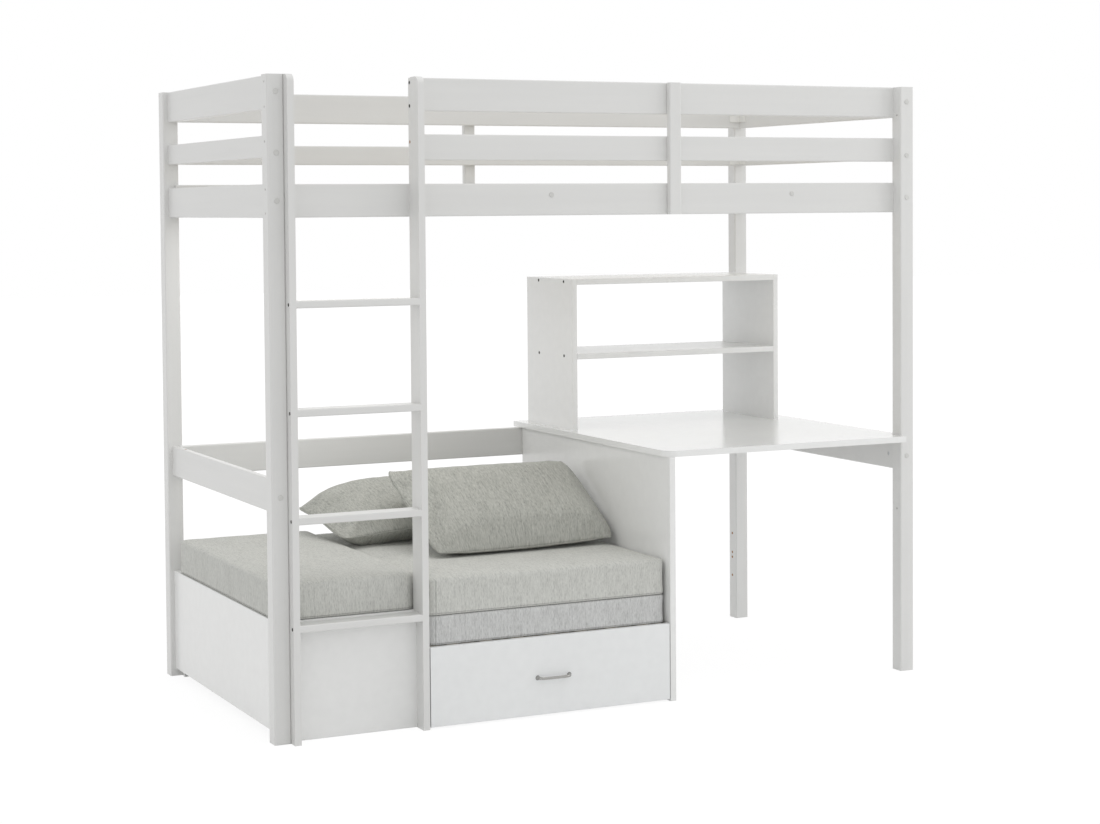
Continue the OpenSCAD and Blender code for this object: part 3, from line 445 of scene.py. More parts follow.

# %% [markdown]
# ## Grey melange cloth
# The covers are woven from yarns of mixed greys. From near by one sees short light and dark flecks that follow one
# yarn direction; from far away they blend into a warm light grey. The group reads a UV map laid out in metres, as the
# cloth was cut, so that the flecks keep their size and run down the sides and towards the back on top. It adds a
# plain weave as height. A second UV map holds the distance to the nearest seam: there the height dips into the sewn
# crease, and the cloth is darkened towards grey as painted shade of that crease.

# %% Cloth group
YARN = 1.1 * MM


def flecks(tree, cut, across, down, detail=1.0, rough=0.5):
    """Noise on the cut cloth, with so many features a metre across the yarns and down them."""
    return noise(tree, stretched(tree, cut, (across, down, 1.0)), 1.0, detail, rough)


melange_cloth, gi, go = new_group(
    "melange_cloth",
    [("Cut", "Vector", None), ("Seam", "Vector", None), ("Light", "Color", (0.62, 0.63, 0.60, 1)),
     ("Mid", "Color", (0.46, 0.47, 0.45, 1)), ("Dark", "Color", (0.27, 0.275, 0.27, 1))],
    [("Color", "Color", None), ("Height", "Float", None), ("Roughness", "Float", None)],
)
t = melange_cloth
fleck = flecks(t, gi["Cut"], 480.0, 85.0, 2.0, 0.62)
streak = flecks(t, gi["Cut"], 190.0, 22.0, 2.0, 0.55)
blot = flecks(t, gi["Cut"], 16.0, 7.0)
tone = calc(t, "ADD", calc(t, "MULTIPLY", fleck, 0.62), calc(t, "MULTIPLY", streak, 0.38))
tone = calc(t, "ADD", tone, calc(t, "MULTIPLY", calc(t, "SUBTRACT", blot, 0.5), 0.10))
yarns = mix(t, remap(t, tone, 0.34, 0.5), gi["Dark"], gi["Mid"])
yarns = mix(t, remap(t, tone, 0.5, 0.66), yarns, gi["Light"])
parts = put(t, "SeparateXYZ", 0, {0: gi["Cut"]}).node.outputs
warp = calc(t, "SINE", calc(t, "MULTIPLY", parts[0], 2 * math.pi / YARN))
weft = calc(t, "SINE", calc(t, "MULTIPLY", parts[1], 2 * math.pi / YARN))
weave = calc(t, "MULTIPLY", warp, weft)
near = put(t, "SeparateXYZ", 0, {0: gi["Seam"]}).node.outputs
close = calc(t, "MINIMUM", calc(t, "ABSOLUTE", near[0]), calc(t, "ABSOLUTE", near[1]))
# 1 on a seam, 0 from 2.4 mm off: the mask that dips the height and paints shade along the sewn crease
groove_and_seam_shade = remap(t, close, 0.0, 2.4 * MM, 1.0, 0.0)
by_seam = remap(t, close, 1.0 * MM, 14.0 * MM, 1.0, 0.0)
pucker = calc(t, "MULTIPLY", by_seam, flecks(t, gi["Cut"], 75.0, 75.0))
height = calc(t, "ADD", calc(t, "MULTIPLY", weave, 0.10), calc(t, "MULTIPLY", tone, 0.5))
height = calc(t, "SUBTRACT", height, calc(t, "MULTIPLY", groove_and_seam_shade, 3.2))
t.links.new(calc(t, "ADD", height, calc(t, "MULTIPLY", pucker, 1.6)), go["Height"])
# painted shade: along the seam's crease the colour is mixed towards dark grey 0.24, up to 0.45 of the way
t.links.new(mix(t, calc(t, "MULTIPLY", groove_and_seam_shade, 0.45), yarns, (0.24, 0.24, 0.23, 1)), go["Color"])
t.links.new(remap(t, tone, 0.3, 0.7, 0.96, 0.86), go["Roughness"])
print("group melange_cloth:", len(t.nodes), "nodes")

# %% [markdown]
# ## Three covers
# The cushions, the layer under them and the pillows are cut from cloths a shade apart. Choosing nine yarn colours by
# hand would soon drift in hue, so each cover names only its middle yarn and how far the other two lie from it.

# %% Cloth materials


def cover(name, light, mid, dark):
    """A woven cover: the melange group with its own three yarn colours, on a Principled BSDF with a faint sheen."""
    m, tree, b = new_material(name)
    cut = put(tree, "UVMap", 0, uv_map="cut")
    seam = put(tree, "UVMap", 0, uv_map="seam")
    yarn_colours = {"Light": (*light, 1), "Mid": (*mid, 1), "Dark": (*dark, 1)}
    cloth = use_group(tree, melange_cloth, {"Cut": cut, "Seam": seam, **yarn_colours})
    dress(tree, b, cloth["Color"], cloth["Roughness"], cloth["Height"], 0.7 * MM, 0.55)
    b["Specular IOR Level"].default_value = 0.15
    b["Sheen Weight"].default_value = 0.12
    b["Sheen Roughness"].default_value = 0.6
    return m


def melange(name, mid, spread):
    """A cover from its middle yarn: the dark one is darker by the spread, the light one lighter by 0.6 of it, and
    none is paler than 0.86."""
    return cover(name, *[tuple(min(c * k, 0.86) for c in mid) for k in (1 + 0.6 * spread, 1.0, 1 - spread)])


seat_cloth = melange("grey_melange_seat", (0.60, 0.605, 0.572), spread=0.25)
under_cloth = melange("grey_melange_under", (0.595, 0.60, 0.592), spread=0.28)
pillow_cloth = melange("grey_melange_pillow", (0.465, 0.47, 0.433), spread=0.38)
print("covers:", seat_cloth.name, under_cloth.name, pillow_cloth.name)

# %% [markdown]
# ## Foam cushions as sewn boxes
# A foam cushion is a box with soft edges. Its surface starts as a lattice on the six faces of a box, where each
# lattice point has whole-number coordinates, so points that two faces share are found by comparing numbers. Two
# corner roundings then bend the lattice: one in plan, one from the sides over to the top.

# %% Lattice on a box


def box_lattice(counts):
    """Unique whole-number points on the faces of a box of that many cells, its quads outwards, and each quad's face.

    Face f has a fixed axis and two running ones; quad (i, j) joins the lattice points (i, j) to (i+1, j+1)."""
    quads, owner, base = [], [], 0
    points = []
    for axis in range(3):
        a, b = (axis + 1) % 3, (axis + 2) % 3
        for end in (0, 1):
            i, j = np.meshgrid(np.arange(counts[a] + 1), np.arange(counts[b] + 1), indexing="ij")
            p = np.zeros((i.size, 3), int)
            p[:, a], p[:, b], p[:, axis] = i.ravel(), j.ravel(), end * counts[axis]
            c = np.arange(i.size).reshape(i.shape) + base
            q = np.stack([c[:-1, :-1], c[1:, :-1], c[1:, 1:], c[:-1, 1:]], -1).reshape(-1, 4)
            quads.append(q if end else q[:, ::-1])
            owner.append(np.full(len(q), 2 * axis + end))
            points.append(p)
            base += i.size
    points, quads, owner = np.concatenate(points), np.concatenate(quads), np.concatenate(owner)
    unique, where = np.unique(points, axis=0, return_inverse=True)
    return unique, where.reshape(-1)[quads], owner


def corner(flat, size, radius):
    """Round the corners of a plan outline: inside the corner square, the distance to its inner point is kept as the
    larger of the two legs, and the direction stays, so squares turn into arcs. Gives inner points, way, reach."""
    inner = np.clip(flat, radius, size - radius)
    leg = flat - inner
    reach = np.abs(leg).max(1)
    length = np.maximum(np.hypot(*leg.T), 1e-9)
    return inner, leg / length[:, None], reach


def soft_edge(reach, z, height, radius, top, bottom):
    """Round the edge between sides and top, and between sides and bottom: each point close to the edge moves on to
    an arc about a centre that lies one radius in from both faces."""
    for r, level, way in ((top, height, 1), (bottom, 0.0, -1)):
        u, w = reach - (radius - r), way * (z - level) + r
        near_edge = (u > 0) & (w > 0)
        length = np.maximum(np.hypot(u, w), 1e-9)
        scale = np.where(near_edge, r / length, 1.0)
        reach = np.where(near_edge, radius - r + u * scale, reach)
        z = np.where(near_edge, level + way * (w * scale - r), z)
    return reach, z


print("lattice of 2x2x2 cells:", len(box_lattice((2, 2, 2))[0]), "points")

# %% [markdown]
# ## Inflate with cloth
# The covers are sewn a little smaller than the foam, so it presses them from inside. Blender's Cloth does the same
# with pressure and no gravity. The result is read back as coordinates, how far a point may move is capped, and the
# modifier is dropped, so that the piece keeps a plain mesh.

# %% Mesh and simulation helpers


def make_mesh(name, co, quads, uvs=None):
    """A mesh from arrays; uvs is {name: one pair for each face corner}."""
    mesh = bpy.data.meshes.new(name)
    mesh.from_pydata(co.tolist(), [], quads.tolist())
    for layer, values in (uvs or {}).items():
        mesh.uv_layers.new(name=layer).data.foreach_set("uv", np.ascontiguousarray(values, np.float32).ravel())
    mesh.shade_smooth()
    mesh.update()
    return mesh


def add_piece(name, mesh, material, body):
    """An object for that mesh at the origin, with its material, riding on a body."""
    obj = bpy.data.objects.new(name, mesh)
    bpy.context.collection.objects.link(obj)
    mesh.materials.append(material)
    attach(obj, body)
    return obj


def inflate(co, quads, pressure, cap, frames=20, stiff=12.0):
    """Cloth under pressure with no gravity: where the points are after those frames. A move of d becomes
    cap tanh(d / cap), which never reaches the cap."""
    mesh = make_mesh("sim", co, quads)
    obj = bpy.data.objects.new("sim", mesh)
    bpy.context.collection.objects.link(obj)
    cloth = obj.modifiers.new("cloth", "CLOTH")
    s = cloth.settings
    s.quality, s.mass, s.use_pressure, s.uniform_pressure_force = 5, 0.3, True, pressure
    s.tension_stiffness, s.compression_stiffness, s.shear_stiffness, s.bending_stiffness = stiff, stiff, 4.0, 0.4
    s.effector_weights.gravity = 0
    cloth.collision_settings.use_collision = False
    cloth.point_cache.frame_start, cloth.point_cache.frame_end = 1, frames
    scene = bpy.context.scene
    for f in range(1, frames + 1):
        scene.frame_set(f)
    out = np.zeros(len(co) * 3, np.float32)
    obj.evaluated_get(bpy.context.evaluated_depsgraph_get()).data.vertices.foreach_get("co", out)
    scene.frame_set(1)
    bpy.data.objects.remove(obj)
    bpy.data.meshes.remove(mesh)
    move = out.reshape(-1, 3) - co
    length = np.maximum(np.linalg.norm(move, axis=1), 1e-9)[:, None]
    return co + move / length * (cap * np.tanh(length / cap))


# %% [markdown]
# ## The seat cushion and the folding mattress
# The seat cushion lies on the box at the left. The mattress is folded in two: its layers lie on each other, with a
# dark line where they meet: shade in the crease, and painted shade along the upper layer's seam just above it. Each
# has a seam down its front near the left corner, and one round its lower edge. Foam also gives way to hard parts: the
# seat cushion is cut out round the post and presses forward between the stiles. A Boolean could cut the post out, but
# moving the lattice's own points keeps the surface whole for the simulation.

# %% Foam beside hard parts


def round_the_post(co, post):
    """Foam gives way to a post in its corner: a point inside the post's plan, kept 1.5 mm off, moves out to the
    nearer of the two faces that point into the cushion, by the smaller of its two depths."""
    edge = np.array(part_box(post)[1])[:2] + 1.5 * MM
    depth = edge - co[:, :2]
    inside = (depth > 0).all(1)
    by_x = inside & (depth[:, 0] < depth[:, 1])
    by_y = inside & ~by_x
    co[by_x, 0], co[by_y, 1] = edge[0], edge[1]
    return co


def between_stiles(co, depth):
    """The foam presses forward between the ladder's stiles: y falls by that depth where a plateau over x (up and down
    by half cosines, 16 mm wide) is 1, fading by a squared cosine over the first 90 mm behind the front face."""
    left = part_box("ladder_stile_left")[1].x + 2 * MM
    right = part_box("ladder_stile_right")[0].x - 2 * MM
    ramp = np.clip(np.minimum(co[:, 0] - left, right - co[:, 0]) / (16 * MM), 0, 1)
    back = np.clip((co[:, 1] - co[:, 1].min()) / (90 * MM), 0, 1)
    co[:, 1] -= depth * (0.5 - 0.5 * np.cos(np.pi * ramp)) * np.cos(np.pi / 2 * back) ** 2
    return co


print("foam helpers ready")

# %% Cushion form
PLAN_ROUND, FRONT_BULGE, SEAM_UP = 24 * MM, 13 * MM, 5 * MM


def cushion_form(grid, size, top_edge, low_edge, crown):
    """The lattice rounded in plan and over its edges, then crowned: z grows by 0.6 crown (1 - |u|^5)(1 - |v|^5), u
    and v from -1 to 1, fading down to half height. The sides draw in by a half sine over z, waved by sines."""
    inner, way, reach = corner(grid[:, :2], size[:2], PLAN_ROUND)
    height = size[2] - crown
    reach, z = soft_edge(reach, grid[:, 2] * height / size[2], height, PLAN_ROUND, top_edge, low_edge)
    u, v = (2 * grid[:, k] / size[k] - 1 for k in (0, 1))
    high = np.clip((z / height - 0.5) * 2, 0, 1) ** 2
    z = z + 0.6 * crown * high * (1 - np.abs(u) ** 5) * (1 - np.abs(v) ** 5)
    belly = np.sin(np.pi * np.clip(z / height, 0, 1)) * np.clip(reach / PLAN_ROUND, 0, 1)
    x, y = grid[:, 0], grid[:, 1]
    ripple = np.sin(x * 47 + 1.3) * np.sin(y * 39 + 0.4) + 0.6 * np.sin(x * 83 + y * 71)
    plan = inner + way * reach[:, None] - way * ((2.5 + 0.7 * ripple) * MM * belly)[:, None]
    return np.column_stack([plan, z])


def cushion_maps(grid, quads, owner, size, seam_at):
    """The cut map is x or y across and the height down the sides, going on over the top, each face well away from the
    next. The seam map holds x from the seam in the front and back, and z from the seam round the lower edge."""
    face = np.repeat(owner, 4)
    x, y, h = grid[quads.ravel()].T
    cut_u = np.where(face < 2, y + 3.0, x)
    cut_v = np.choose(face, [h, h, h, size[1] + size[2] * 2 - h + 1, -y, size[2] + y])
    seam_u = np.where(face == 2, x - seam_at, np.where(face == 3, x - size[0] + seam_at, 1.0))
    seam_v = np.where(face < 4, h - SEAM_UP, 1.0)
    return {"cut": np.column_stack([cut_u, cut_v]), "seam": np.column_stack([seam_u, seam_v])}


print("cushions are rounded in plan by", PLAN_ROUND)

# %% Sewn boxes


def sewn_box(name, node, body, material, top_edge, low_edge, crown, seam_at, post=None):
    """A foam cushion in the box of its CAD node, swollen by cloth pressure but flat underneath, and held a hair
    inside the box. Where a post is named, the corner and the front give way."""
    lo, hi = (np.array(v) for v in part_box(node))
    size = hi - lo
    step = 9 * MM
    counts = np.maximum(np.round(size / step), 8).astype(int)
    ijk, quads, owner = box_lattice(counts)
    grid = ijk * size / counts
    co = cushion_form(grid, size, top_edge, low_edge, crown)
    swollen = inflate(co, quads, pressure=4.0, cap=3.5 * MM)
    low = co[:, 2] < low_edge * 0.5
    swollen[low, 2] = co[low, 2]
    co = swollen
    hair = np.array([0.2 * MM, 0.2 * MM, 0.1 * MM])
    co = np.clip(co, hair * (1, 1, 0), size - hair) + lo
    co = between_stiles(round_the_post(co, post), FRONT_BULGE) if post else co
    mesh = make_mesh(name, co, quads, cushion_maps(grid, quads, owner, size, seam_at))
    obj = add_piece(name, mesh, material, body)
    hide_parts(node)
    smooth = obj.modifiers.new("smooth", "SUBSURF")
    smooth.levels = smooth.render_levels = 1
    print(name, "lattice", counts, "quads", len(quads))


sewn_box("seat_cushion_cover", "seat_cushion", "frame", seat_cloth,
         top_edge=11 * MM, low_edge=4 * MM, crown=3 * MM, seam_at=22 * MM, post="post_front_left")
sewn_box("mattress_lower_cover", "mattress_lower", "frame", under_cloth,
         top_edge=5 * MM, low_edge=4 * MM, crown=0.0, seam_at=22 * MM)
sewn_box("mattress_upper_cover", "mattress_upper", "upper_layer_body", seat_cloth,
         top_edge=13 * MM, low_edge=5 * MM, crown=6 * MM, seam_at=24 * MM)

# %% [markdown]
# ## The two pillows
# A scatter pillow is two sheets sewn along their rim and filled. Each sheet is a grid over u and v from -1 to 1. It
# bulges most in the middle and falls steeply at the rim. A filled square grows ears, so the sheets are cut a little
# full at the sides and blunt at the corners, as a maker does. The cloth then tightens them, which puts small folds
# along the seam. The pillow is turned into its place and flattened where it lies on the cushions. Dropping it there
# in a simulation would fold it too, but it would land somewhere else than in the picture.

# %% Pillow sheets


def to_the_rim(n):
    """n + 1 places from -1 to 1 that lie closer together at the ends: sines of even angles up to 1.25 radians."""
    return np.sin(np.linspace(-1, 1, n + 1) * 1.25) / np.sin(1.25)


def pillow_sheets(width, depth, thick, n):
    """Two grids joined at the rim: x = u W/2 (1 + 0.03 (1 - v^2))(1 - 0.05 v^8), so that sides are full and corners
    blunt, y likewise with 0.04 for 0.03, and z = plus or minus T/2 ((1 - |u|^2.6)(1 - |v|^2.6))^0.62."""
    m = int(round(n * width / depth))
    u, v = np.meshgrid(to_the_rim(m), to_the_rim(n), indexing="ij")
    bulge = np.clip((1 - np.abs(u) ** 2.6) * (1 - np.abs(v) ** 2.6), 0, 1) ** 0.62
    x = u * width / 2 * (1 + 0.03 * (1 - v**2)) * (1 - 0.05 * v**8)
    y = v * depth / 2 * (1 + 0.04 * (1 - u**2)) * (1 - 0.05 * u**8)
    rim = (np.abs(u) > 0.9999) | (np.abs(v) > 0.9999)
    ids = np.arange(u.size).reshape(u.shape)
    low_ids = ids.copy()
    low_ids[~rim] = u.size + np.arange((~rim).sum())
    z, flat = bulge * thick / 2, np.stack([u * width / 2, v * depth / 2], -1)
    co = np.concatenate([np.stack([x, y, z], -1).reshape(-1, 3), np.stack([x, y, -z], -1)[~rim]])
    uv = np.concatenate([flat.reshape(-1, 2), flat[~rim]])

    def cells(c):
        return np.stack([c[:-1, :-1], c[1:, :-1], c[1:, 1:], c[:-1, 1:]], -1).reshape(-1, 4)

    upper, lower = cells(ids), cells(low_ids)[:, ::-1]
    rim_path = np.concatenate([ids[:-1, 0], ids[-1, :-1], ids[:0:-1, -1], ids[0, :0:-1]])
    return co, np.concatenate([upper, lower]), uv, len(upper), rim_path


print("columns by the rim of 8:", to_the_rim(8).round(2))

# %% Turn, rest and welt


def turn(co, angles):
    """Turned about X, then Y, then Z, by those degrees."""
    ax, ay, az = np.radians(angles)
    rx = np.array([[1, 0, 0], [0, math.cos(ax), -math.sin(ax)], [0, math.sin(ax), math.cos(ax)]])
    ry = np.array([[math.cos(ay), 0, math.sin(ay)], [0, 1, 0], [-math.sin(ay), 0, math.cos(ay)]])
    rz = np.array([[math.cos(az), -math.sin(az), 0], [math.sin(az), math.cos(az), 0], [0, 0, 1]])
    return co @ (rz @ ry @ rx).T


SEAT_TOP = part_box("seat_cushion")[1].z - 0.5 * MM
MATTRESS_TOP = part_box("mattress_upper")[1].z - 1.0 * MM
MATTRESS_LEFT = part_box("mattress_upper")[0].x
WELT, STITCH = 1.3 * MM, 7 * MM


def rest(co):
    """Flatten what dips into the cushions: their tops are at two heights, left and right of the mattress's side."""
    top = np.where(co[:, 0] < MATTRESS_LEFT, SEAT_TOP, MATTRESS_TOP) + 0.6 * MM
    return np.column_stack([co[:, :2], np.maximum(co[:, 2], top)])


def welt(name, path, middle, body):
    """The sewn edge as a thin roll: a circle of 1.3 mm carried round the closed path of the rim, thinner and thicker
    by a tenth as the stitches pull it in every 7 mm."""
    ahead = np.roll(path, -1, 0) - np.roll(path, 1, 0)
    ahead /= np.linalg.norm(ahead, axis=1)[:, None]
    out = path - middle
    side = np.cross(ahead, np.cross(out, ahead))
    side /= np.linalg.norm(side, axis=1)[:, None]
    up = np.cross(ahead, side)
    run = np.cumsum(np.linalg.norm(path - np.roll(path, 1, 0), axis=1))
    radius = WELT * (1 + 0.1 * np.sin(2 * np.pi * run / STITCH))
    n, k = 10, len(path)
    a = np.linspace(0, 2 * np.pi, n, endpoint=False)
    ring = side[:, None] * np.cos(a)[None, :, None] + up[:, None] * np.sin(a)[None, :, None]
    co = (path[:, None] + ring * radius[:, None, None]).reshape(-1, 3)
    i, j = np.meshgrid(np.arange(k), np.arange(n), indexing="ij")
    i2, j2 = (i + 1) % k, (j + 1) % n
    quads = np.stack([i * n + j, i2 * n + j, i2 * n + j2, i * n + j2], -1).reshape(-1, 4)
    flat = np.column_stack([np.repeat(run, n), np.tile(a * WELT, k)])[quads.ravel()]
    mesh = make_mesh(name, co, quads, {"cut": flat[:, ::-1], "seam": np.ones((quads.size, 2))})
    obj = add_piece(name, mesh, pillow_cloth, body)


print("pillows rest at", round(SEAT_TOP, 4), "and", round(MATTRESS_TOP, 4))

# %% Pillows
PILLOW = (595 * MM, 390 * MM, 150 * MM)


def pull(co, u, v, corners, swell=0.0):
    """Move corners of the pillow: a corner (a, b) with a, b = -1 or 1 goes by its (x, y, z) in mm, and that fades
    out as ((1 + a u)(1 + b v) / 4)^2. The swell lifts the left half's back: a bell over (u, v) round (-0.55, 0.4)."""
    for a, b, move in corners:
        fade = np.clip((1 + a * u) * (1 + b * v) / 4, 0, 1) ** 2
        co += fade[:, None] * np.array(move) * MM
    co[:, 2] += swell * np.exp(-((u + 0.55) ** 2 + (v - 0.4) ** 2) / 0.35)
    return co


def pillow(name, node, body, angles, sink, seed, corners, swell=0.0):
    """A filled pillow in the middle of its CAD node's box, lowered by sink and flattened on the cushions."""
    width, depth, thick = PILLOW
    n = 74
    co, quads, uv, upper, rim_path = pillow_sheets(width, depth, thick, n)
    # a start that is wider, flatter and 0.6 mm uneven, so that the cloth has something to fold
    start = co * np.array([1.02, 1.02, 0.9])
    start += (np.random.default_rng(seed).random(co.shape) - 0.5) * 0.6 * MM
    co = inflate(start, quads, pressure=7.0, cap=24 * MM, frames=26, stiff=14.0)
    span = co.max(0) - co.min(0)
    print(name, "after the cloth", span.round(3))
    co = (co - (co.max(0) + co.min(0)) / 2) * np.array([width, depth, thick]) / span
    co = pull(co, uv[:, 0] * 2 / width, uv[:, 1] * 2 / depth, corners, swell)
    lo, hi = (np.array(v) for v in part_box(node))
    placed = rest(turn(co, angles) + (lo + hi) / 2 - np.array([0, 0, sink]))
    loops = quads.ravel()
    flip = np.where(np.arange(len(loops)) < upper * 4, 1, -1)
    cut = uv[loops] * np.column_stack([flip, np.ones(len(loops))]) + np.where(flip > 0, 0.0, 5.0)[:, None] + seed
    far_rim = np.minimum(width / 2 - np.abs(uv[:, 0]), depth / 2 - np.abs(uv[:, 1]))[loops]
    mesh = make_mesh(name, placed, quads, {"cut": cut, "seam": np.column_stack([far_rim, np.ones(len(loops))])})
    obj = add_piece(name, mesh, pillow_cloth, body)
    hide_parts(node)
    smooth = obj.modifiers.new("smooth", "SUBSURF")
    smooth.levels = smooth.render_levels = 1
    print(name, "quads", len(quads), "box", placed.min(0).round(3), placed.max(0).round(3))
    welt(name.replace("cover", "seam"), placed[rim_path], placed.mean(0), body)


pillow("pillow_left_cover", "pillow_left", "pillow_left_body", angles=(9, -7, 5), sink=8 * MM, seed=3,
       corners=((-1, -1, (-22, 46, 5)), (-1, 1, (-24, 0, 3))), swell=25 * MM)
pillow("pillow_right_cover", "pillow_right", "pillow_right_body", angles=(32, 0, 1), sink=5 * MM, seed=7,
       corners=((-1, 1, (-33, 12, 0)), (-1, -1, (-10, 4, 0)), (1, 1, (0, 8, 0)), (1, -1, (6, 14, 0))))

# %% [markdown]
# ## The bow handle
# The drawer's handle is one bar of satin nickel, bent into a flat bow and spread at its ends into two feet. A curve
# with a bevel would bend as well, but its section stays the same all along. So a section is carried along a path: the
# path is a super-ellipse in plan, the section an ellipse whose axes grow at the feet.

# %% Handle


def swept(path, side, up, wide, high):
    """An elliptic section at every path point: point = path + side cos(a) wide + up sin(a) high, with end discs."""
    n = 24
    a = np.linspace(0, 2 * np.pi, n, endpoint=False)
    across = side[:, None] * (np.cos(a)[None, :, None] * wide[:, None, None])
    ring = path[:, None] + across + up[:, None] * (np.sin(a)[None, :, None] * high[:, None, None])
    k = len(path)
    i, j = np.meshgrid(np.arange(k - 1), np.arange(n), indexing="ij")
    j2 = (j + 1) % n
    quads = np.stack([i * n + j, i * n + j2, (i + 1) * n + j2, (i + 1) * n + j], -1).reshape(-1, 4)
    return ring.reshape(-1, 3), quads, [list(range(n))[::-1], [(k - 1) * n + j for j in range(n)]]


def bow_handle():
    """Path: x = -X |cos t|^0.55 with the sign of cos t, y = -R (sin t)^0.62, t from 0 to pi, out from the drawer's
    front. The half-axes of the section grow at the feet by exp(-(d / 3.2 mm)^1.4), d from the front."""
    lo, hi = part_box("drawer_handle")
    mid = Vector(((lo.x + hi.x) / 2, hi.y, (lo.z + hi.z) / 2))
    half, out = 50 * MM, (hi.y - lo.y) - 2.5 * MM
    a = np.linspace(0, np.pi, 120)
    x = -half * np.sign(np.cos(a)) * np.abs(np.cos(a)) ** 0.55
    y = -out * np.abs(np.sin(a)) ** 0.62
    path = np.column_stack([x + mid.x, y + mid.y, np.full(len(a), mid.z)])
    run = np.gradient(path, axis=0)
    run /= np.maximum(np.linalg.norm(run, axis=1), 1e-9)[:, None]
    up = np.tile([0.0, 0.0, 1.0], (len(a), 1))
    side = np.cross(run, up)
    foot = np.exp(-((-y) / (3.2 * MM)) ** 1.4)
    wide = (2.5 + 4.2 * foot) * MM
    high = (4.0 + 3.0 * foot) * MM
    co, quads, caps = swept(path, side, up, wide, high)
    co[:, 1] = np.minimum(co[:, 1], mid.y)
    mesh = bpy.data.meshes.new("drawer_bow_handle")
    mesh.from_pydata(co.tolist(), [], quads.tolist() + caps)
    mesh.shade_smooth()
    obj = add_piece("drawer_bow_handle", mesh, nickel, "pull_out_bed")
    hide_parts("drawer_handle")
    print("handle", co.min(0).round(3), co.max(0).round(3))


bow_handle()

# %% [markdown]
# ## Turned pieces: casters, screws and drilled holes
# Wheels, screw heads and the insides of drilled holes are all bodies of revolution. The Screw modifier could turn
# them too, but one function in numbers places dozens of them at once. It turns a closed profile, given as distances
# along the axis and radii, about that axis. Points on the axis collapse to poles that are merged.

# %% Turning


def lathe(profile, origin, axis, n):
    """Points origin + s axis + r (cos a e1 + sin a e2) for each (s, r) of the profile and n angles; quads between."""
    s_r = np.array(profile, float)
    axis = np.array(axis, float)
    e1 = np.cross(axis, [0.0, 0.0, 1.0]) if abs(axis[2]) < 0.9 else np.array([1.0, 0.0, 0.0])
    e2 = np.cross(axis, e1)
    a = np.linspace(0, 2 * np.pi, n, endpoint=False)
    round_ = np.cos(a)[:, None] * e1 + np.sin(a)[:, None] * e2
    co = np.array(origin) + s_r[:, 0, None, None] * axis + s_r[:, 1, None, None] * round_
    k = len(s_r)
    i, j = np.meshgrid(np.arange(k), np.arange(n), indexing="ij")
    i2, j2 = (i + 1) % k, (j + 1) % n
    quads = np.stack([i * n + j, i * n + j2, i2 * n + j2, i2 * n + j], -1)
    return co.reshape(-1, 3), quads.reshape(-1, 4)


def joined(name, parts, material, body):
    """One mesh of several turned parts: doubles merged, flat faces dropped, normals outwards, and edges that bend by
    more than 35 degrees kept sharp."""
    base, co, quads = 0, [], []
    for c, q in parts:
        co.append(c)
        quads.append(q + base)
        base += len(c)
    mesh = bpy.data.meshes.new(name)
    mesh.from_pydata(np.concatenate(co).tolist(), [], np.concatenate(quads).tolist())
    bm = bmesh.new()
    bm.from_mesh(mesh)
    bmesh.ops.remove_doubles(bm, verts=bm.verts, dist=0.005 * MM)
    bmesh.ops.dissolve_degenerate(bm, edges=bm.edges, dist=0.002 * MM)
    bmesh.ops.recalc_face_normals(bm, faces=bm.faces)
    bm.to_mesh(mesh)
    bm.free()
    mesh.shade_smooth()
    mesh.set_sharp_from_angle(angle=math.radians(35))
    obj = add_piece(name, mesh, material, body)
    print(name, "faces", len(mesh.polygons))
    return obj


print("a square turned in 8 steps:", len(lathe([(0, 1), (0, 2), (1, 2), (1, 1)], (0, 0, 0), (1, 0, 0), 8)[1]), "quads")

# %% [markdown]
# ## The casters' wheels
# A furniture caster has a hard tyre with rounded shoulders on a dished hub. The profile is laid over the width and
# radius of the CAD wheel, with its bore free for the axle. Drawing half of it and mirroring it in numbers keeps both
# faces alike.

# %% Wheels
HUB = [(0.0, 4.4), (0.0, 8), (0.6, 8.6), (3, 9.4), (3.4, 14), (1.2, 16), (0.2, 17)]  # mm from the face, mm radius


def wheel_profile(width, radius):
    """The dished hub, then a quarter circle of 0.14 of the width as the tyre's shoulder, and the same mirrored."""
    r = width * 0.14
    shoulder = [(r * (1 - math.sin(k)), radius - r * (1 - math.cos(k))) for k in np.linspace(0, math.pi / 2, 6)]
    half = [(s * MM, b * MM) for s, b in HUB] + shoulder[::-1]
    return half + [(width - s, b) for s, b in half[::-1]]


for corner_name in ("front_left", "front_right", "back_left", "back_right"):
    node = "wheel_" + corner_name
    lo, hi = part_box(node)
    profile = wheel_profile(hi.x - lo.x, (hi.z - lo.z) / 2)
    turned_wheel = lathe(profile, (lo.x, (lo.y + hi.y) / 2, (lo.z + hi.z) / 2), (1, 0, 0), 72)
    wheel = joined(node + "_turned", [turned_wheel], dark_tyre, node + "_body")
    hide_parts(node)

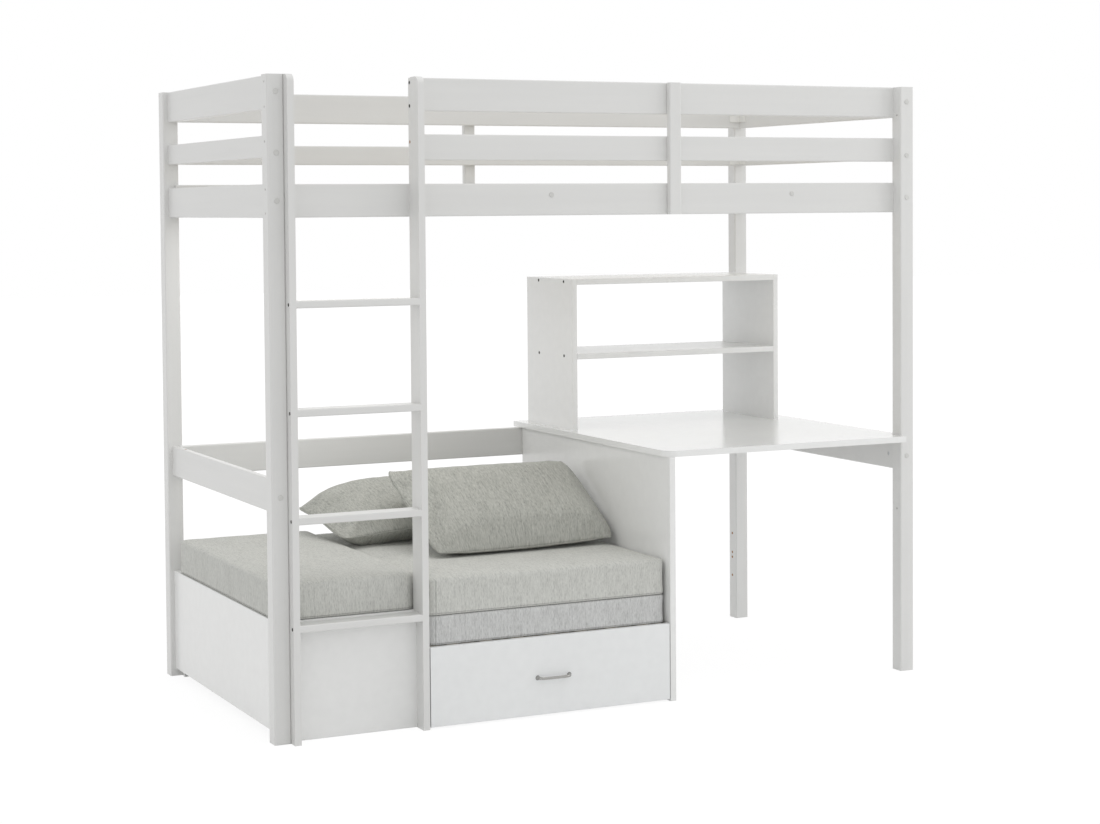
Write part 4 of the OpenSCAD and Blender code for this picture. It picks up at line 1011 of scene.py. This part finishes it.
# %% [markdown]
# ## Screws and drilled holes
# The stiles, three posts, the shelf unit and the left arm rail are drilled. Some holes hold a dark screw whose flat
# head, with a socket in it, stands 0.65 mm proud; others stay empty and show the raw brown wood that the drill left,
# in the hole and in a thin ring round it. Those in the front posts are painted over. All sit in the 5 mm holes of the
# CAD model, and a list gives where each opens and which way it runs, so that each kind is one mesh.

# %% Screws and holes
INTO_X, OUT_OF_X, DOWN = (1, 0, 0), (-1, 0, 0), (0, 0, -1)
screws = [((47, -20, z), INTO_X) for z in (314, 605.5, 897, 1188.5)]
screws += [((422, 30, z), INTO_X) for z in (1726, 1790)]
for shelf_side, way in ((1222, INTO_X), (1988, OUT_OF_X)):
    screws += [((shelf_side, y, z), way) for y in (700, 884) for z in (968, 1206)]
holes = [((422, 30, z), INTO_X) for z in (121, 186, 1627)]
holes += [((2033, 1019, z), INTO_X) for z in (149, 213, 230, 297)]
holes += [((25, 885, 715), DOWN)]
painted_holes = [((0, 21, z), INTO_X) for z in (1433, 1497, 1625, 1718, 1785)]
painted_holes += [((2033, 21, z), INTO_X) for z in (505, 1719)]


def at_mouth(place):
    """Where a hole opens, from millimetres counted from the frame's front left corner."""
    return np.array(FOOT) + np.array(place) * MM


def turned(profile, places, n):
    """That profile at every place of a list, turned about the way that the hole there runs, in n steps."""
    return [lathe(profile, at_mouth(place), way, n) for place, way in places]


# profiles: millimetres into the hole from its mouth, and millimetres of radius
screw_profile = [(s * MM, r * MM) for s, r in (
    (-0.1, 4.9), (-0.5, 4.5), (-0.65, 3.6), (-0.65, 1.6), (-0.5, 1.45), (1.6, 1.4), (1.7, 0), (6, 0), (6, 2.42),
    (0.15, 2.42), (0.15, 4.9))]
hole_profile = [(s * MM, r * MM) for s, r in (
    (-0.08, 4.4), (-0.1, 4.2), (-0.1, 2.6), (0.3, 2.2), (11.4, 2.2), (11.4, 0), (11.8, 0), (11.8, 2.46), (0.1, 2.46),
    (0.1, 4.4))]
sunk = joined("sunk_screws", turned(screw_profile, screws, 24), black_oxide, "frame")
bores = joined("drilled_holes", turned(hole_profile, holes, 20), raw_bore, "frame")
painted = joined("painted_holes", turned(hole_profile, painted_holes, 20), white_cap, "frame")

# %% [markdown]
# ## The end

# %% The end
print("scene built")
